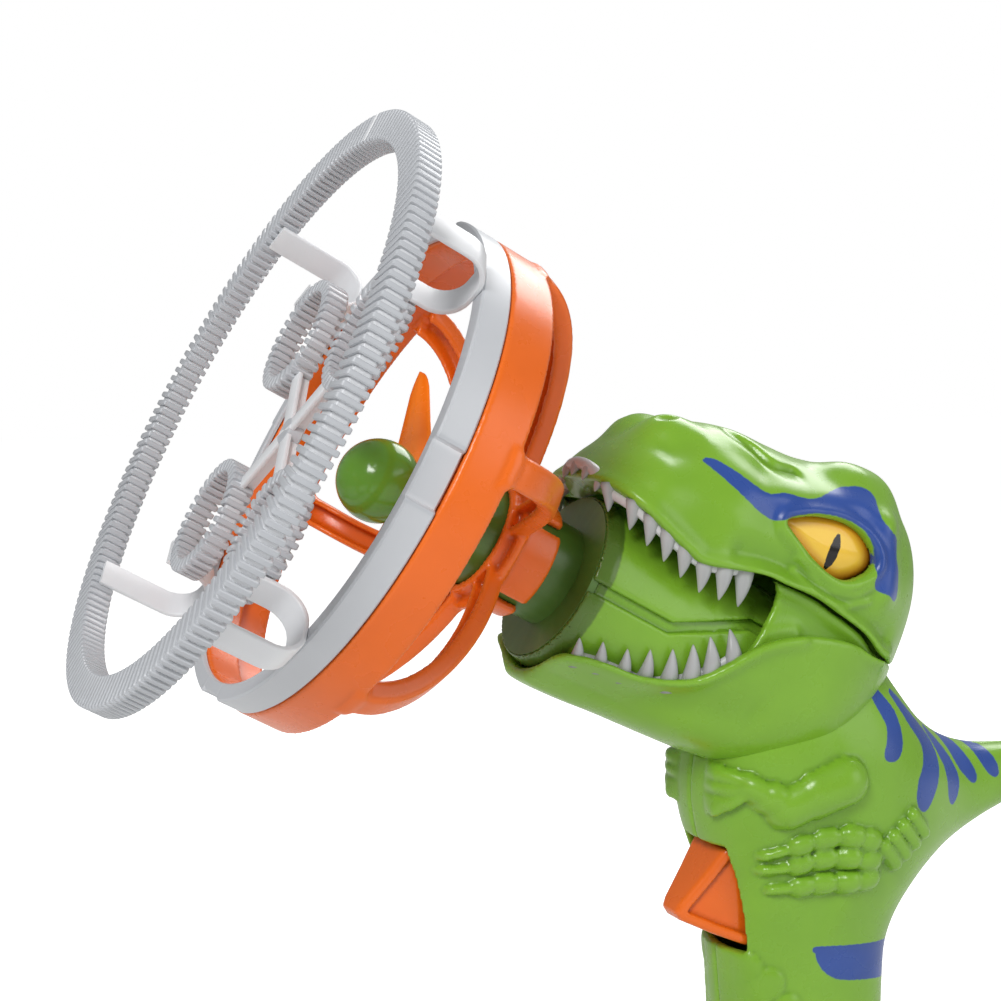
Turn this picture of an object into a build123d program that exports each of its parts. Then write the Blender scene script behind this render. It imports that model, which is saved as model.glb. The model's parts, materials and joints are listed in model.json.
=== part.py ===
"""Hand-held bubble fan in the shape of a dinosaur.

The origin is the centre of the handle's flat base. +X points to the front, where the bubble rings
are, +Y to the toy's left side and +Z up the handle. A barrel lies between the jaws and rises to
the front at `rake` degrees. Everything on the barrel is placed by its distance along the barrel
axis, counted forward from the barrel's front end, and by its turn about that axis, counted from
the toy's left side towards the top.
"""
from build123d import *
from math import cos, radians, sin
import os

# ------------------------------------------------------------------ driving dimensions (mm, degrees)
wall = 2.0                 # moulded shells
fit = 0.3                  # clearance between pieces that move on each other
roundness = 0.46           # corner radius of a body or head section, as a share of its shorter side
reach = 60.0               # farther than any piece's side: how far cutting blocks run

# barrel
rake = 29.0                # rise of the barrel axis towards the front
nose_x = 73.0              # centre of the barrel's front end
nose_z = 173.5
barrel_radius = 24.4
barrel_length = 70.0
barrel_wall = 2.0
groove_width = 3.0         # gap along each side between the two barrel halves
lip_overlap = 3.0          # how far the lower half's inner lip stands up behind the upper half
nose_chamfer = 1.6

# motor pod and motor
motor_radius = 10.1
pod_clearance = 1.8        # room round the motor inside its pod
pod_wall = 1.7
pod_radius = motor_radius + pod_clearance + pod_wall
pod_length = 34.0
motor_flats = 15.4
motor_can_length = 20.0
motor_endcap_length = 5.0
can_wall = 1.0
rotor_gap = 3.0            # between the rotor and each end of the can
rotor_clearance = 2.5      # between the rotor and the can's flats
shaft_radius = 1.0
boss_radius = 3.0          # motor's front bearing boss

# large bubble ring and its brackets
ring_front = 96.0          # ring's front face, ahead of the barrel's front end
ring_radius = 80.0
ring_section = 8.4
ring_width = 6.6
bracket_count = 4
bracket_turn = 45.0
bracket_width = 8.0
ribbon = 1.4               # thickness of the bent ribbon
bracket_bend = 6.0
bracket_grip = 4.4         # how far the ribbon runs up inside the ring

# cluster of small bubble rings
small_ring_radius = 16.0
small_ring_inset = 28.8    # how far the small rings' centres lie inside the band's outside
small_ring_section = 3.6
cluster_back = 77.0
cluster_width = 6.4
spoke_width = 2.4
spoke_depth = 4.0
cluster_hub_radius = 3.6

# snap band
band_radius = 65.6
small_ring_offset = band_radius - small_ring_inset
band_wall = 2.4
band_back = 60.0
band_length = 8.0
band_lip = 2.2             # how far the front lip reaches inward past the band's bore
band_lip_thickness = 1.2
window_width = 14.0
window_depth = 1.2
window_count = 4

# fan cage
rim_length = 10.6
rim_wall = 2.2
bowl_depth = 32.0
cage_wall = 2.0
arm_count = 6
arm_turn = 8.0             # turn of the first arm at the rim
arm_swirl = 14.0           # how far an arm has turned on where it meets the hub
arm_width = 8.0
arm_steps = 8
arm_flange = 5.0
cage_hub_radius = 22.0
collar_wall = 2.2
collar_slot_count = 4
collar_slot_turn = 37.0
collar_slot_width = 3.5
collar_start = 8.0         # the collar's tabs end this far ahead of the barrel
collar_slot_length = 9.0

# fan
blade_count = 3
blade_turn = 15.0
blade_radius = 50.0
blade_root = 13.0
blade_tip = 4.0
blade_thickness = 1.4
blade_pitch = 24.0
blade_sink = 2.0           # how far a blade's root runs into the hub
fan_plane = 45.0
fan_hub_radius = 8.0
fan_hub_length = 7.0
hub_ball_radius = 10.6
hub_ball_wall = 1.6

# handle and torso, as stations: height, length along X, width along Y, centre along X
grip_inside_length = 42.0  # the batteries set the handle's inside and the walls go round it
grip_inside_width = 30.0
grip_length = grip_inside_length + 2 * wall
grip_width = grip_inside_width + 2 * wall
base_length = grip_length + 4.0
base_width = grip_width + 2.0
flare_height = 6.0         # the base narrows by these two sizes up to here
flare_length = 2.5
flare_width = 1.0
grip_bottom = 20.0
grip_middle = 46.0
grip_top = 72.0
grip_stations = ((0.0, base_length, base_width, 0.0),
                 (flare_height, base_length - flare_length, base_width - flare_width, 0.0),
                 (grip_bottom, grip_length, grip_width, 0.0),
                 (grip_middle, grip_length, grip_width, 0.0),
                 (grip_top, grip_length, grip_width, 0.0))
torso_stations = ((84.0, 50.0, 36.0, 0.0), (98.0, 53.0, 42.0, 1.5), (108.0, 60.0, 50.0, 5.0),
                  (118.0, 62.0, 52.0, 6.0), (128.0, 58.0, 50.0, 5.0), (146.0, 44.0, 42.0, 0.0))
tail_stations = ((-12.0, 103.0, 27.0, 21.0), (-34.0, 104.5, 23.0, 17.0), (-56.0, 104.0, 13.0, 11.0),
                 (-80.0, 109.0, 6.5, 6.0), (-102.0, 115.0, 2.0, 2.0))

# head, as stations: distance along the barrel axis, top, bottom (from the axis) and half width
head_stations = ((6.0, 34.0, -25.0, 21.0), (-8.0, 46.0, -28.0, 27.0), (-28.0, 56.0, -28.0, 30.5),
                 (-52.0, 61.0, -26.0, 31.5), (-76.0, 63.0, -23.0, 31.0), (-94.0, 54.0, -13.0, 26.0),
                 (-102.0, 42.0, -2.0, 18.0))
upper_lip = ((80, 203), (68, 200), (60, 192), (49, 181), (44, 177), (29, 174), (14, 168), (6, 163),
             (-3, 157), (-12, 148))
lower_lip = ((92, 158), (80, 157), (68, 154), (60, 150), (49, 147.5), (43, 147), (36, 149), (27, 154),
             (19, 156), (2, 156), (-4, 153), (-12, 148))
neck_seam = (-70, 138)     # the seam between skull and jaw runs on from the mouth's corner to here
head_ceiling = 240.0       # heights and margin of the blocks that part skull and jaw
head_floor = 90.0
lip_margin = 20.0
upper_teeth = (1, 6)       # the stretch of each lip line that carries teeth, as places in its list
lower_teeth = (1, 7)
tooth_count = 9
tooth_length = 7.0
tooth_thickness = 2.0
tooth_share = 0.92         # share of the pitch that a tooth fills
gum_height = 3.0
eye_x = 8.0
eye_z = 179.0
eye_side = 17.5
eye_radius = 12.6
eye_depth = 13.0

# trigger
trigger_width = 21.4
trigger_back = 10.0
trigger_outline = ((27.0, 97.0), (39.0, 81.0), (21.5, 71.5), (trigger_back, 72.0),
                   (trigger_back, 97.0))
trigger_tip_radius = 2.5
slot_bottom = 70.2
slot_top = 99.6
slot_back = 2.0
pivot_x = 16.0
pivot_z = 93.0
pivot_radius = 1.25
pin_seat = 4.0             # how far the pin runs into the body beyond the trigger
pin_play = 0.05
rib_x = -6.0               # upright rib that backs the spring and the switch
rib_thickness = 2.0
spring_z = 77.0
spring_radius = 3.2
spring_wire = 0.7
spring_coils = 5
switch_z = 87.5
switch_size = (11.0, 8.0, 6.0)
switch_wall = 2.0
plunger_size = 2.6
plunger_start = 5.0        # distance from the rib to the plunger's inner end
plunger_gap = 0.4          # between the plunger and the trigger at rest

# batteries
battery_radius = 7.2
battery_length = 49.5
button_radius = 2.7        # positive button at the top end
button_height = 1.0
battery_end_room = 8.0     # from an outer battery's centre to the end of the handle's inside
battery_pitch = grip_inside_length / 2 - battery_end_room
battery_stagger = 3.4
floor_thickness = 3.0
contact_thickness = 0.5
contact_spring_height = 2.6
contact_spring_radius = 3.0
contact_length = grip_inside_length - battery_end_room
contact_width = 14.0
contact_corner = 3.0
shelf_thickness = 2.0
door_width = 30.0
door_bottom = 6.0
door_top = 55.0
door_depth = 8.0           # how near to the middle plane the door's opening reaches
door_screw_z = 51.0
door_screw_length = 8.0
door_screw_sink = 0.2      # the head's face below the door's face
door_screw_seat = 1.4      # the head's seat below the door's face
thread_play = 0.1
door_boss = 3.6            # half width of the block that takes the door's screw
door_boss_end = -7.2

# screws that close the shells, as places in the XZ plane
shell_screw_places = ((-14.0, 64.5), (-14.0, 108.0), (20.0, 106.0), (-42.0, 104.0))
screw_radius = 1.3
screw_head_radius = 2.6
screw_head_height = 1.8
screw_length = 14.0
screw_seat = -9.0          # Y of the seats under the heads
screw_boss_radius = 3.6

# ------------------------------------------------------------------ reference frame of the barrel
axis = Vector(cos(radians(rake)), 0, sin(radians(rake)))
up = Vector(-sin(radians(rake)), 0, cos(radians(rake)))
left = Vector(0, 1, 0)
nose = Vector(nose_x, 0, nose_z)
barrel_axis = Axis(nose, axis)


def on_axis(distance, turn=0.0):
    """Plane square to the barrel axis; its x points outward at the turn."""
    return Plane(origin=nose + axis * distance, x_dir=outward(turn), z_dir=axis)


def outward(turn):
    """Direction square to the barrel axis at the turn."""
    return left * cos(radians(turn)) + up * sin(radians(turn))


def through_axis(turn):
    """Plane that holds the barrel axis; its x points outward at the turn and its y forward."""
    return Plane(origin=nose, x_dir=outward(turn), z_dir=outward(turn).cross(axis))


def tube(start, end, outer, inner):
    """A tube on the barrel axis."""
    with BuildPart() as piece:
        with BuildSketch(on_axis(start)):
            Circle(outer)
            Circle(inner, mode=Mode.SUBTRACT)
        extrude(amount=end - start)
    return piece.part


def write(part, name):
    """Label a finished piece and write its file."""
    part.part.label = name
    export_step(part.part, f"parts/{name}.step")


os.makedirs("parts", exist_ok=True)
bracket_turns = [bracket_turn + 360 / bracket_count * k for k in range(bracket_count)]
arm_turns = [arm_turn + 360 / arm_count * k for k in range(arm_count)]
blade_turns = [blade_turn + 360 / blade_count * k for k in range(blade_count)]

# ------------------------------------------------------------------ wand: rings, brackets and band
ring_back = ring_front - ring_width
ring_bore = ring_radius - ring_section
band_front = band_back + band_length
band_bore = band_radius - band_wall
leg_outer = ring_bore - ribbon / 2
leg_inner = small_ring_offset + small_ring_radius + ribbon / 2

with BuildPart() as bubble_ring_large:
    add(tube(ring_back, ring_front, ring_radius, ring_bore))
    for turn in bracket_turns:
        with BuildSketch(through_axis(turn)):
            with BuildLine():
                FilletPolyline((leg_outer, ring_back + bracket_grip),
                               (leg_outer, band_front + ribbon / 2),
                               (leg_inner, band_front + ribbon / 2),
                               (leg_inner, cluster_back + cluster_width), radius=bracket_bend)
            trace(line_width=ribbon)
        extrude(amount=bracket_width / 2, both=True)
write(bubble_ring_large, "bubble_ring_large")

with BuildPart() as bubble_ring_cluster:
    with BuildSketch(on_axis(cluster_back)):
        Circle(cluster_hub_radius)
    extrude(amount=spoke_depth)
    for turn in bracket_turns:
        with BuildSketch(on_axis(cluster_back, turn)):
            with Locations((small_ring_offset, 0)):
                Circle(small_ring_radius)
                Circle(small_ring_radius - small_ring_section, mode=Mode.SUBTRACT)
        extrude(amount=cluster_width)
        with BuildSketch(on_axis(cluster_back, turn)):
            Rectangle(small_ring_offset - small_ring_radius + small_ring_section / 2, spoke_width,
                      align=(Align.MIN, Align.CENTER))
        extrude(amount=spoke_depth)
write(bubble_ring_cluster, "bubble_ring_cluster")

with BuildPart() as wand_band:
    add(tube(band_back + fit, band_front, band_radius, band_bore))
    add(tube(band_front - band_lip_thickness, band_front, band_radius, band_bore - band_lip))
    for k in range(window_count):
        with BuildSketch(on_axis(band_back, 360 / window_count * k)):
            with Locations((band_radius - window_depth, 0)):
                Rectangle(band_wall, window_width, align=(Align.MIN, Align.CENTER))
        extrude(amount=band_length, mode=Mode.SUBTRACT)
write(wand_band, "wand_band")

# ------------------------------------------------------------------ fan cage
rim_back = band_back - rim_length
spigot_radius = band_bore - fit
spigot_front = band_front - band_lip_thickness - fit
collar_radius = pod_radius + collar_wall
bowl_back = rim_back - bowl_depth


def bowl_region(skin):
    """The bowl's shell in section, `skin` thick: x is outward from the barrel axis, y forward."""
    with BuildSketch() as region:
        with BuildLine():
            outer = EllipticalCenterArc((0, rim_back), band_radius, bowl_depth, 270, arc_size=90)
            inner = EllipticalCenterArc((0, rim_back), band_radius - skin, bowl_depth - skin, 270,
                                        arc_size=90)
            Line(outer @ 0, inner @ 0)
            Line(outer @ 1, inner @ 1)
        make_face()
    return region.sketch


def arm_outline(turn, half_width):
    """Outline of one arm as seen along the barrel axis: it swirls from the rim in to the hub."""
    corners = []
    for side in (1, -1):
        for k in range(arm_steps + 1)[::side]:
            radius = pod_radius + (band_radius - pod_radius) * k / arm_steps
            place = radians(turn + arm_swirl * (1 - k / arm_steps)) + side * half_width / radius
            corners.append((radius * cos(place), radius * sin(place)))
    return corners


with BuildPart() as arm_hollows:
    with BuildSketch(on_axis(bowl_back)):
        for turn in arm_turns:
            with BuildLine():
                Polyline(*arm_outline(turn, arm_width / 2 - cage_wall), close=True)
            make_face()
    extrude(amount=bowl_depth)
    with BuildSketch(through_axis(90)):
        with BuildLine():
            hollow = EllipticalCenterArc((0, rim_back), band_radius - cage_wall, bowl_depth - cage_wall,
                                         270, arc_size=90)
            Polyline(hollow @ 1, (0, rim_back), hollow @ 0)
        make_face()
    revolve(axis=barrel_axis, mode=Mode.INTERSECT)

with BuildPart() as fan_cage:
    with BuildSketch(through_axis(90)):
        with BuildLine():
            Polyline((band_radius, rim_back), (band_radius, band_back), (spigot_radius, band_back),
                     (spigot_radius, spigot_front), (spigot_radius - rim_wall, spigot_front),
                     (spigot_radius - rim_wall, band_back - rim_wall),
                     (band_radius - rim_wall, rim_back), close=True)
        make_face()
    revolve(axis=barrel_axis)
    with BuildSketch(through_axis(90)):
        add(bowl_region(arm_flange))
    revolve(axis=barrel_axis)
    with BuildSketch(on_axis(bowl_back - cage_wall)):
        Circle(band_radius + arm_flange)
        Circle(cage_hub_radius, mode=Mode.SUBTRACT)
        for turn in arm_turns:
            with BuildLine():
                Polyline(*arm_outline(turn, arm_width / 2), close=True)
            make_face(mode=Mode.SUBTRACT)
    extrude(amount=bowl_depth + cage_wall, mode=Mode.SUBTRACT)
    add(arm_hollows.part, mode=Mode.SUBTRACT)
    add(tube(collar_start, bowl_back + cage_wall, collar_radius, pod_radius))
    with BuildSketch(on_axis(0)):
        Circle(pod_radius)
    extrude(amount=rim_back, mode=Mode.SUBTRACT)
    for k in range(collar_slot_count):
        with BuildSketch(on_axis(collar_start, collar_slot_turn + 360 / collar_slot_count * k)):
            Rectangle(collar_radius * 2, collar_slot_width, align=(Align.MIN, Align.CENTER))
        extrude(amount=collar_slot_length, mode=Mode.SUBTRACT)
write(fan_cage, "fan_cage")

# ------------------------------------------------------------------ fan: blades, hub ball and shaft
hub_front = fan_plane + fan_hub_length / 2
hub_back = fan_plane - fan_hub_length / 2
blade_inner = fan_hub_radius - blade_sink

with BuildPart() as fan_blades:
    add(tube(hub_back, hub_front, fan_hub_radius, shaft_radius))
    for turn in blade_turns:
        centre = nose + axis * fan_plane
        chord = outward(turn + 90) * cos(radians(blade_pitch)) + axis * sin(radians(blade_pitch))
        with BuildSketch(Plane(origin=centre, x_dir=outward(turn), z_dir=outward(turn).cross(chord))):
            with BuildLine():
                Polyline((blade_inner, -blade_root / 2), (blade_radius, -blade_tip / 2),
                         (blade_radius, blade_tip / 2), (blade_inner, blade_root / 2),
                         close=True)
            make_face()
        extrude(amount=blade_thickness / 2, both=True)
write(fan_blades, "fan_blades")

with BuildPart() as fan_hub_ball:
    with BuildSketch(through_axis(90)):
        with Locations((0, hub_front + hub_ball_radius / 2)):
            Circle(hub_ball_radius)
            Circle(hub_ball_radius - hub_ball_wall, mode=Mode.SUBTRACT)
        Rectangle(hub_ball_radius * 4, hub_front, align=(Align.CENTER, Align.MIN),
                  mode=Mode.SUBTRACT)
        with Locations((0, hub_front)):
            Rectangle(hub_ball_radius * 2, hub_ball_radius * 2, align=(Align.MAX, Align.MIN),
                      mode=Mode.SUBTRACT)
    revolve(axis=barrel_axis)
write(fan_hub_ball, "fan_hub_ball")

motor_front = pod_length - pod_wall
motor_back = motor_front - motor_can_length
with BuildPart() as motor_shaft:
    with BuildSketch(on_axis(motor_back + motor_endcap_length)):
        Circle(shaft_radius)
    extrude(amount=hub_front - motor_back - motor_endcap_length)
    add(tube(motor_back + rotor_gap, motor_front - rotor_gap, motor_flats / 2 - rotor_clearance,
             shaft_radius))
write(motor_shaft, "motor_shaft")

# ------------------------------------------------------------------ motor
with BuildPart() as motor_can:
    with BuildSketch(on_axis(motor_back)):
        Circle(motor_radius)
        Rectangle(motor_radius * 2, motor_flats, mode=Mode.INTERSECT)
    extrude(amount=motor_can_length)
    with BuildSketch(on_axis(motor_front)):
        Circle(boss_radius)
    extrude(amount=pod_wall)
    with BuildSketch(on_axis(motor_back)):
        Circle(motor_radius - can_wall)
        Rectangle(motor_radius * 2, motor_flats - 2 * can_wall, mode=Mode.INTERSECT)
    extrude(amount=motor_can_length - can_wall, mode=Mode.SUBTRACT)
    with BuildSketch(on_axis(motor_back)):
        Circle(shaft_radius + fit)
    extrude(amount=motor_can_length + pod_wall, mode=Mode.SUBTRACT)
write(motor_can, "motor_can")

with BuildPart() as motor_endcap:
    with BuildSketch(on_axis(motor_back - motor_endcap_length)):
        Circle(motor_radius)
        Rectangle(motor_radius * 2, motor_flats, mode=Mode.INTERSECT)
    extrude(amount=motor_endcap_length)
write(motor_endcap, "motor_endcap")

# ------------------------------------------------------------------ barrel and nose
barrel_bore = barrel_radius - barrel_wall
with BuildPart() as nose_plate:
    add(tube(-barrel_wall, 0, barrel_bore, pod_radius - pod_wall))
    add(tube(-barrel_wall, pod_length, pod_radius, pod_radius - pod_wall))
    add(tube(pod_length - pod_wall, pod_length, pod_radius, boss_radius))
    with BuildSketch(on_axis(motor_back)):
        Circle(pod_radius - pod_wall)
        Circle(motor_radius, mode=Mode.SUBTRACT)
    extrude(amount=motor_can_length / 2)
write(nose_plate, "nose_plate")

with BuildPart() as barrel_upper:
    add(tube(-barrel_length, 0, barrel_radius, barrel_bore))
    chamfer(barrel_upper.faces().sort_by(barrel_axis)[-1].outer_wire().edges(), nose_chamfer)
    split(bisect_by=Plane(origin=nose + up * (groove_width / 2), z_dir=up), keep=Keep.TOP)
write(barrel_upper, "barrel_upper")

with BuildPart() as barrel_lip:
    add(tube(-barrel_length, -barrel_wall, barrel_bore, barrel_bore - barrel_wall))
    split(bisect_by=Plane(origin=nose + up * (groove_width / 2 + lip_overlap), z_dir=up),
          keep=Keep.BOTTOM)
    split(bisect_by=Plane(origin=nose - up * (groove_width / 2 + lip_overlap), z_dir=up),
          keep=Keep.TOP)

with BuildPart() as barrel_lower:
    add(tube(-barrel_length, 0, barrel_radius, barrel_bore))
    chamfer(barrel_lower.faces().sort_by(barrel_axis)[-1].outer_wire().edges(), nose_chamfer)
    split(bisect_by=Plane(origin=nose - up * (groove_width / 2), z_dir=up), keep=Keep.BOTTOM)
    add(barrel_lip.part)
write(barrel_lower, "barrel_lower")

# ------------------------------------------------------------------ head: skull, jaw, teeth and eyes


def head_form(inset):
    """The whole closed head as a loft along the barrel axis, drawn in by the inset on every side."""
    first, last = head_stations[0][0], head_stations[-1][0]
    with BuildPart() as form:
        for distance, top, bottom, half_width in head_stations:
            place = distance
            if distance == first:
                place = distance - inset
            if distance == last:
                place = distance + inset
            height = top - bottom - 2 * inset
            width = 2 * (half_width - inset)
            with BuildSketch(on_axis(place, 0)):
                with Locations((0, (top + bottom) / 2)):
                    RectangleRounded(width, height, roundness * min(width, height))
        loft()
    return form.part


def side_region(points, half_width):
    """A block across the toy whose outline in the XZ plane has the points."""
    with BuildPart() as block:
        with BuildSketch(Plane.XZ):
            with BuildLine():
                Polyline(*points, close=True)
            make_face()
        extrude(amount=half_width, both=True)
    return block.part


def tooth_row(lip_line, count, tip_side):
    """Gum strip along a lip line with pointed teeth; tip_side is -1 for teeth that point down."""
    lip = Polyline(*lip_line)
    with BuildSketch() as row:
        for k in range(count):
            start = lip @ (k / count)
            end = lip @ ((k + tooth_share) / count)
            middle = (start + end) / 2
            with BuildLine():
                Polyline(start, end, middle + Vector(0, tip_side * tooth_length), close=True)
            make_face()
        trace(lines=lip.edges(), line_width=gum_height)
    return row.sketch


head_outer = head_form(0)
head_inner = head_form(wall)
upper_front = upper_lip[0][0] + lip_margin
lower_front = lower_lip[0][0] + lip_margin
skull_outline = upper_lip + (neck_seam, (neck_seam[0], head_ceiling), (upper_front, head_ceiling),
                             (upper_front, upper_lip[0][1]))
jaw_outline = lower_lip + (neck_seam, (neck_seam[0], head_floor), (lower_front, head_floor),
                           (lower_front, lower_lip[0][1]))

with BuildPart() as skull:
    add(head_outer)
    add(head_inner, mode=Mode.SUBTRACT)
    add(side_region(skull_outline, reach), mode=Mode.INTERSECT)
    with BuildSketch(on_axis(-barrel_length)):
        Circle(barrel_radius)
    extrude(amount=barrel_length * 2, mode=Mode.SUBTRACT)
    for side in (-1, 1):
        with Locations((eye_x, side * eye_side, eye_z)):
            Sphere(eye_radius, mode=Mode.SUBTRACT)
write(skull, "skull")

with BuildPart() as lower_jaw:
    add(head_outer)
    add(head_inner, mode=Mode.SUBTRACT)
    add(side_region(jaw_outline, reach), mode=Mode.INTERSECT)
    with BuildSketch(on_axis(-barrel_length)):
        Circle(barrel_radius)
    extrude(amount=barrel_length * 2, mode=Mode.SUBTRACT)
write(lower_jaw, "lower_jaw")


def teeth(lip_line, tip_side):
    """Teeth and their gum strip, as the layer just inside the head's wall."""
    row = tooth_row(lip_line, tooth_count, tip_side)
    with BuildPart() as piece:
        with BuildSketch(Plane.XZ):
            add(row)
        extrude(amount=reach, both=True)
        add(head_inner, mode=Mode.INTERSECT)
        add(head_form(wall + tooth_thickness), mode=Mode.SUBTRACT)
        with BuildSketch(on_axis(-barrel_length)):
            Circle(barrel_radius)
        extrude(amount=barrel_length * 2, mode=Mode.SUBTRACT)
    return piece


write(teeth(upper_lip[upper_teeth[0]:upper_teeth[1]], -1), "teeth_upper")
write(teeth(lower_lip[lower_teeth[0]:lower_teeth[1]], 1), "teeth_lower")

for side, name in ((1, "eye_left"), (-1, "eye_right")):
    with BuildPart() as eye:
        with Locations((eye_x, side * eye_side, eye_z)):
            Sphere(eye_radius)
        split(bisect_by=Plane(origin=(0, side * eye_depth, 0), z_dir=(0, side, 0)))
    write(eye, name)

# ------------------------------------------------------------------ handle, torso and tail


def body_form(inset):
    """Handle, torso and tail as one closed form, drawn in by the inset; its floor is thicker."""
    with BuildPart() as form:
        for height, length, width, centre in grip_stations + torso_stations:
            place = height
            if height == 0 and inset > 0:
                place = floor_thickness
            sides = (length - 2 * inset, width - 2 * inset)
            with BuildSketch(Plane.XY.offset(place)):
                with Locations((centre, 0)):
                    RectangleRounded(*sides, roundness * min(sides))
        loft()
    with BuildPart() as tail:
        for place, height, half_height, half_width in tail_stations:
            sides = (2 * (half_width - inset), 2 * (half_height - inset))
            if min(sides) > wall:
                with BuildSketch(Plane.YZ.offset(place)):
                    with Locations((0, height)):
                        RectangleRounded(*sides, roundness * min(sides))
        loft()
    return form.part + tail.part


def block(low, high):
    """A box between two corners."""
    size = [b - a for a, b in zip(low, high)]
    middle = [(a + b) / 2 for a, b in zip(low, high)]
    return Pos(*middle) * Box(*size, mode=Mode.PRIVATE)


def cross_rod(x, z, radius, start, end):
    """A round rod across the toy, from one Y to another."""
    rod = Cylinder(radius, end - start, mode=Mode.PRIVATE)
    return Pos(x, (start + end) / 2, z) * Rot(90, 0, 0) * rod


shelf_bottom = (floor_thickness + 2 * contact_thickness + contact_spring_height + battery_length)
shelf_top = shelf_bottom + shelf_thickness
body_outer = body_form(0) - head_outer
body_inner = body_form(wall)
trigger_half = trigger_width / 2
pin_end = trigger_half + pin_seat
door_box = block((-door_width / 2, -reach, door_bottom), (door_width / 2, -door_depth, door_top))
door_gap = block((-door_width / 2 - fit, -reach, door_bottom - fit),
                 (door_width / 2 + fit, -door_depth, door_top + fit))

fillings = block((-reach, -reach, shelf_bottom), (reach, reach, shelf_top))
fillings += block((rib_x - rib_thickness / 2, -reach, shelf_top),
                  (rib_x + rib_thickness / 2, reach, slot_top))
for x, z in shell_screw_places:
    fillings += cross_rod(x, z, screw_boss_radius, -reach, reach)
for side in (-1, 1):
    ends = sorted((side * reach, side * trigger_half))
    fillings += cross_rod(pivot_x, pivot_z, pivot_radius + wall, *ends)
fillings += block((-door_boss, -grip_width / 2 + wall + fit, door_screw_z - door_boss),
                  (door_boss, door_boss_end, shelf_bottom))

shell = body_outer - body_inner + (fillings & body_outer)
shell -= block((slot_back, -trigger_half - fit, slot_bottom), (reach, trigger_half + fit, slot_top))
shell -= door_gap - block((-door_boss, -grip_width / 2 + wall + fit, 0), (door_boss, 0, shelf_bottom))
shell -= cross_rod(pivot_x, pivot_z, pivot_radius, -pin_end, pin_end)
shell -= cross_rod(0, door_screw_z, screw_radius, -reach, door_boss_end)
for x, z in shell_screw_places:
    shell -= cross_rod(x, z, screw_radius, screw_seat, screw_seat + screw_length)
    shell -= cross_rod(x, z, screw_head_radius + fit, -reach, screw_seat)

for side, name in ((1, "body_left"), (-1, "body_right")):
    with BuildPart() as half:
        add(shell)
        split(bisect_by=Plane(origin=(0, 0, 0), z_dir=(0, side, 0)))
    write(half, name)

with BuildPart() as shell_screws:
    for x, z in shell_screw_places:
        add(cross_rod(x, z, screw_radius, screw_seat, screw_seat + screw_length))
        add(cross_rod(x, z, screw_head_radius, screw_seat - screw_head_height, screw_seat))
write(shell_screws, "shell_screws")

# ------------------------------------------------------------------ battery door and its screw
door_face = -grip_width / 2
door_head_seat = door_face + door_screw_seat
with BuildPart() as battery_door:
    add((body_outer - body_inner) & door_box)
    add(cross_rod(0, door_screw_z, screw_radius + fit, -reach, -door_depth), mode=Mode.SUBTRACT)
    add(cross_rod(0, door_screw_z, screw_head_radius + fit, -reach, door_head_seat),
        mode=Mode.SUBTRACT)
write(battery_door, "battery_door")

with BuildPart() as door_screw:
    add(cross_rod(0, door_screw_z, screw_head_radius, door_face + door_screw_sink, door_head_seat))
    add(cross_rod(0, door_screw_z, screw_radius - thread_play, door_head_seat,
                  door_face + door_screw_length))
write(door_screw, "door_screw")

# ------------------------------------------------------------------ batteries and contacts
battery_bottom = floor_thickness + contact_thickness + contact_spring_height
battery_top = battery_bottom + battery_length
battery_places = ((battery_pitch, -battery_stagger, "battery_front"),
                  (0, battery_stagger, "battery_middle"),
                  (-battery_pitch, -battery_stagger, "battery_rear"))
for x, y, name in battery_places:
    with BuildPart() as battery:
        with BuildSketch(Plane.XY.offset(battery_bottom)):
            with Locations((x, y)):
                Circle(battery_radius)
        extrude(amount=battery_length - button_height)
        with BuildSketch(Plane.XY.offset(battery_bottom)):
            with Locations((x, y)):
                Circle(button_radius)
        extrude(amount=battery_length)
    write(battery, name)

with BuildPart() as battery_springs:
    with BuildSketch(Plane.XY.offset(floor_thickness)):
        RectangleRounded(contact_length, contact_width, contact_corner)
    extrude(amount=contact_thickness)
    for x, y, name in battery_places:
        with BuildSketch(Plane.XY.offset(floor_thickness)):
            with Locations((x, y)):
                Circle(contact_spring_radius)
        extrude(amount=contact_thickness + contact_spring_height)
write(battery_springs, "battery_springs")

with BuildPart() as battery_contact:
    with BuildSketch(Plane.XY.offset(battery_top)):
        RectangleRounded(contact_length, contact_width, contact_corner)
    extrude(amount=contact_thickness)
write(battery_contact, "battery_contact")

# ------------------------------------------------------------------ trigger, pin, spring and switch
with BuildPart() as trigger:
    with BuildSketch(Plane.XZ):
        with BuildLine():
            Polyline(*trigger_outline, close=True)
        make_face()
        fillet(vertices().sort_by(Axis.X)[-1], trigger_tip_radius)
    extrude(amount=trigger_half, both=True)
    add(cross_rod(pivot_x, pivot_z, pivot_radius + pin_play, -reach, reach), mode=Mode.SUBTRACT)
write(trigger, "trigger")

with BuildPart() as trigger_pin:
    add(cross_rod(pivot_x, pivot_z, pivot_radius, -pin_end, pin_end))
write(trigger_pin, "trigger_pin")

rib_face = rib_x + rib_thickness / 2
spring_length = trigger_back - rib_face
coil_start = Vector(rib_face + spring_wire / 2, 0, spring_z)
with BuildPart() as trigger_spring:
    with BuildLine():
        coil = Helix((spring_length - spring_wire) / spring_coils, spring_length - spring_wire,
                     spring_radius - spring_wire / 2, center=coil_start, direction=(1, 0, 0))
    with BuildSketch(Plane(origin=coil @ 0, z_dir=coil % 0)):
        Circle(spring_wire / 2)
    sweep(is_frenet=True)
write(trigger_spring, "trigger_spring")

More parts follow.
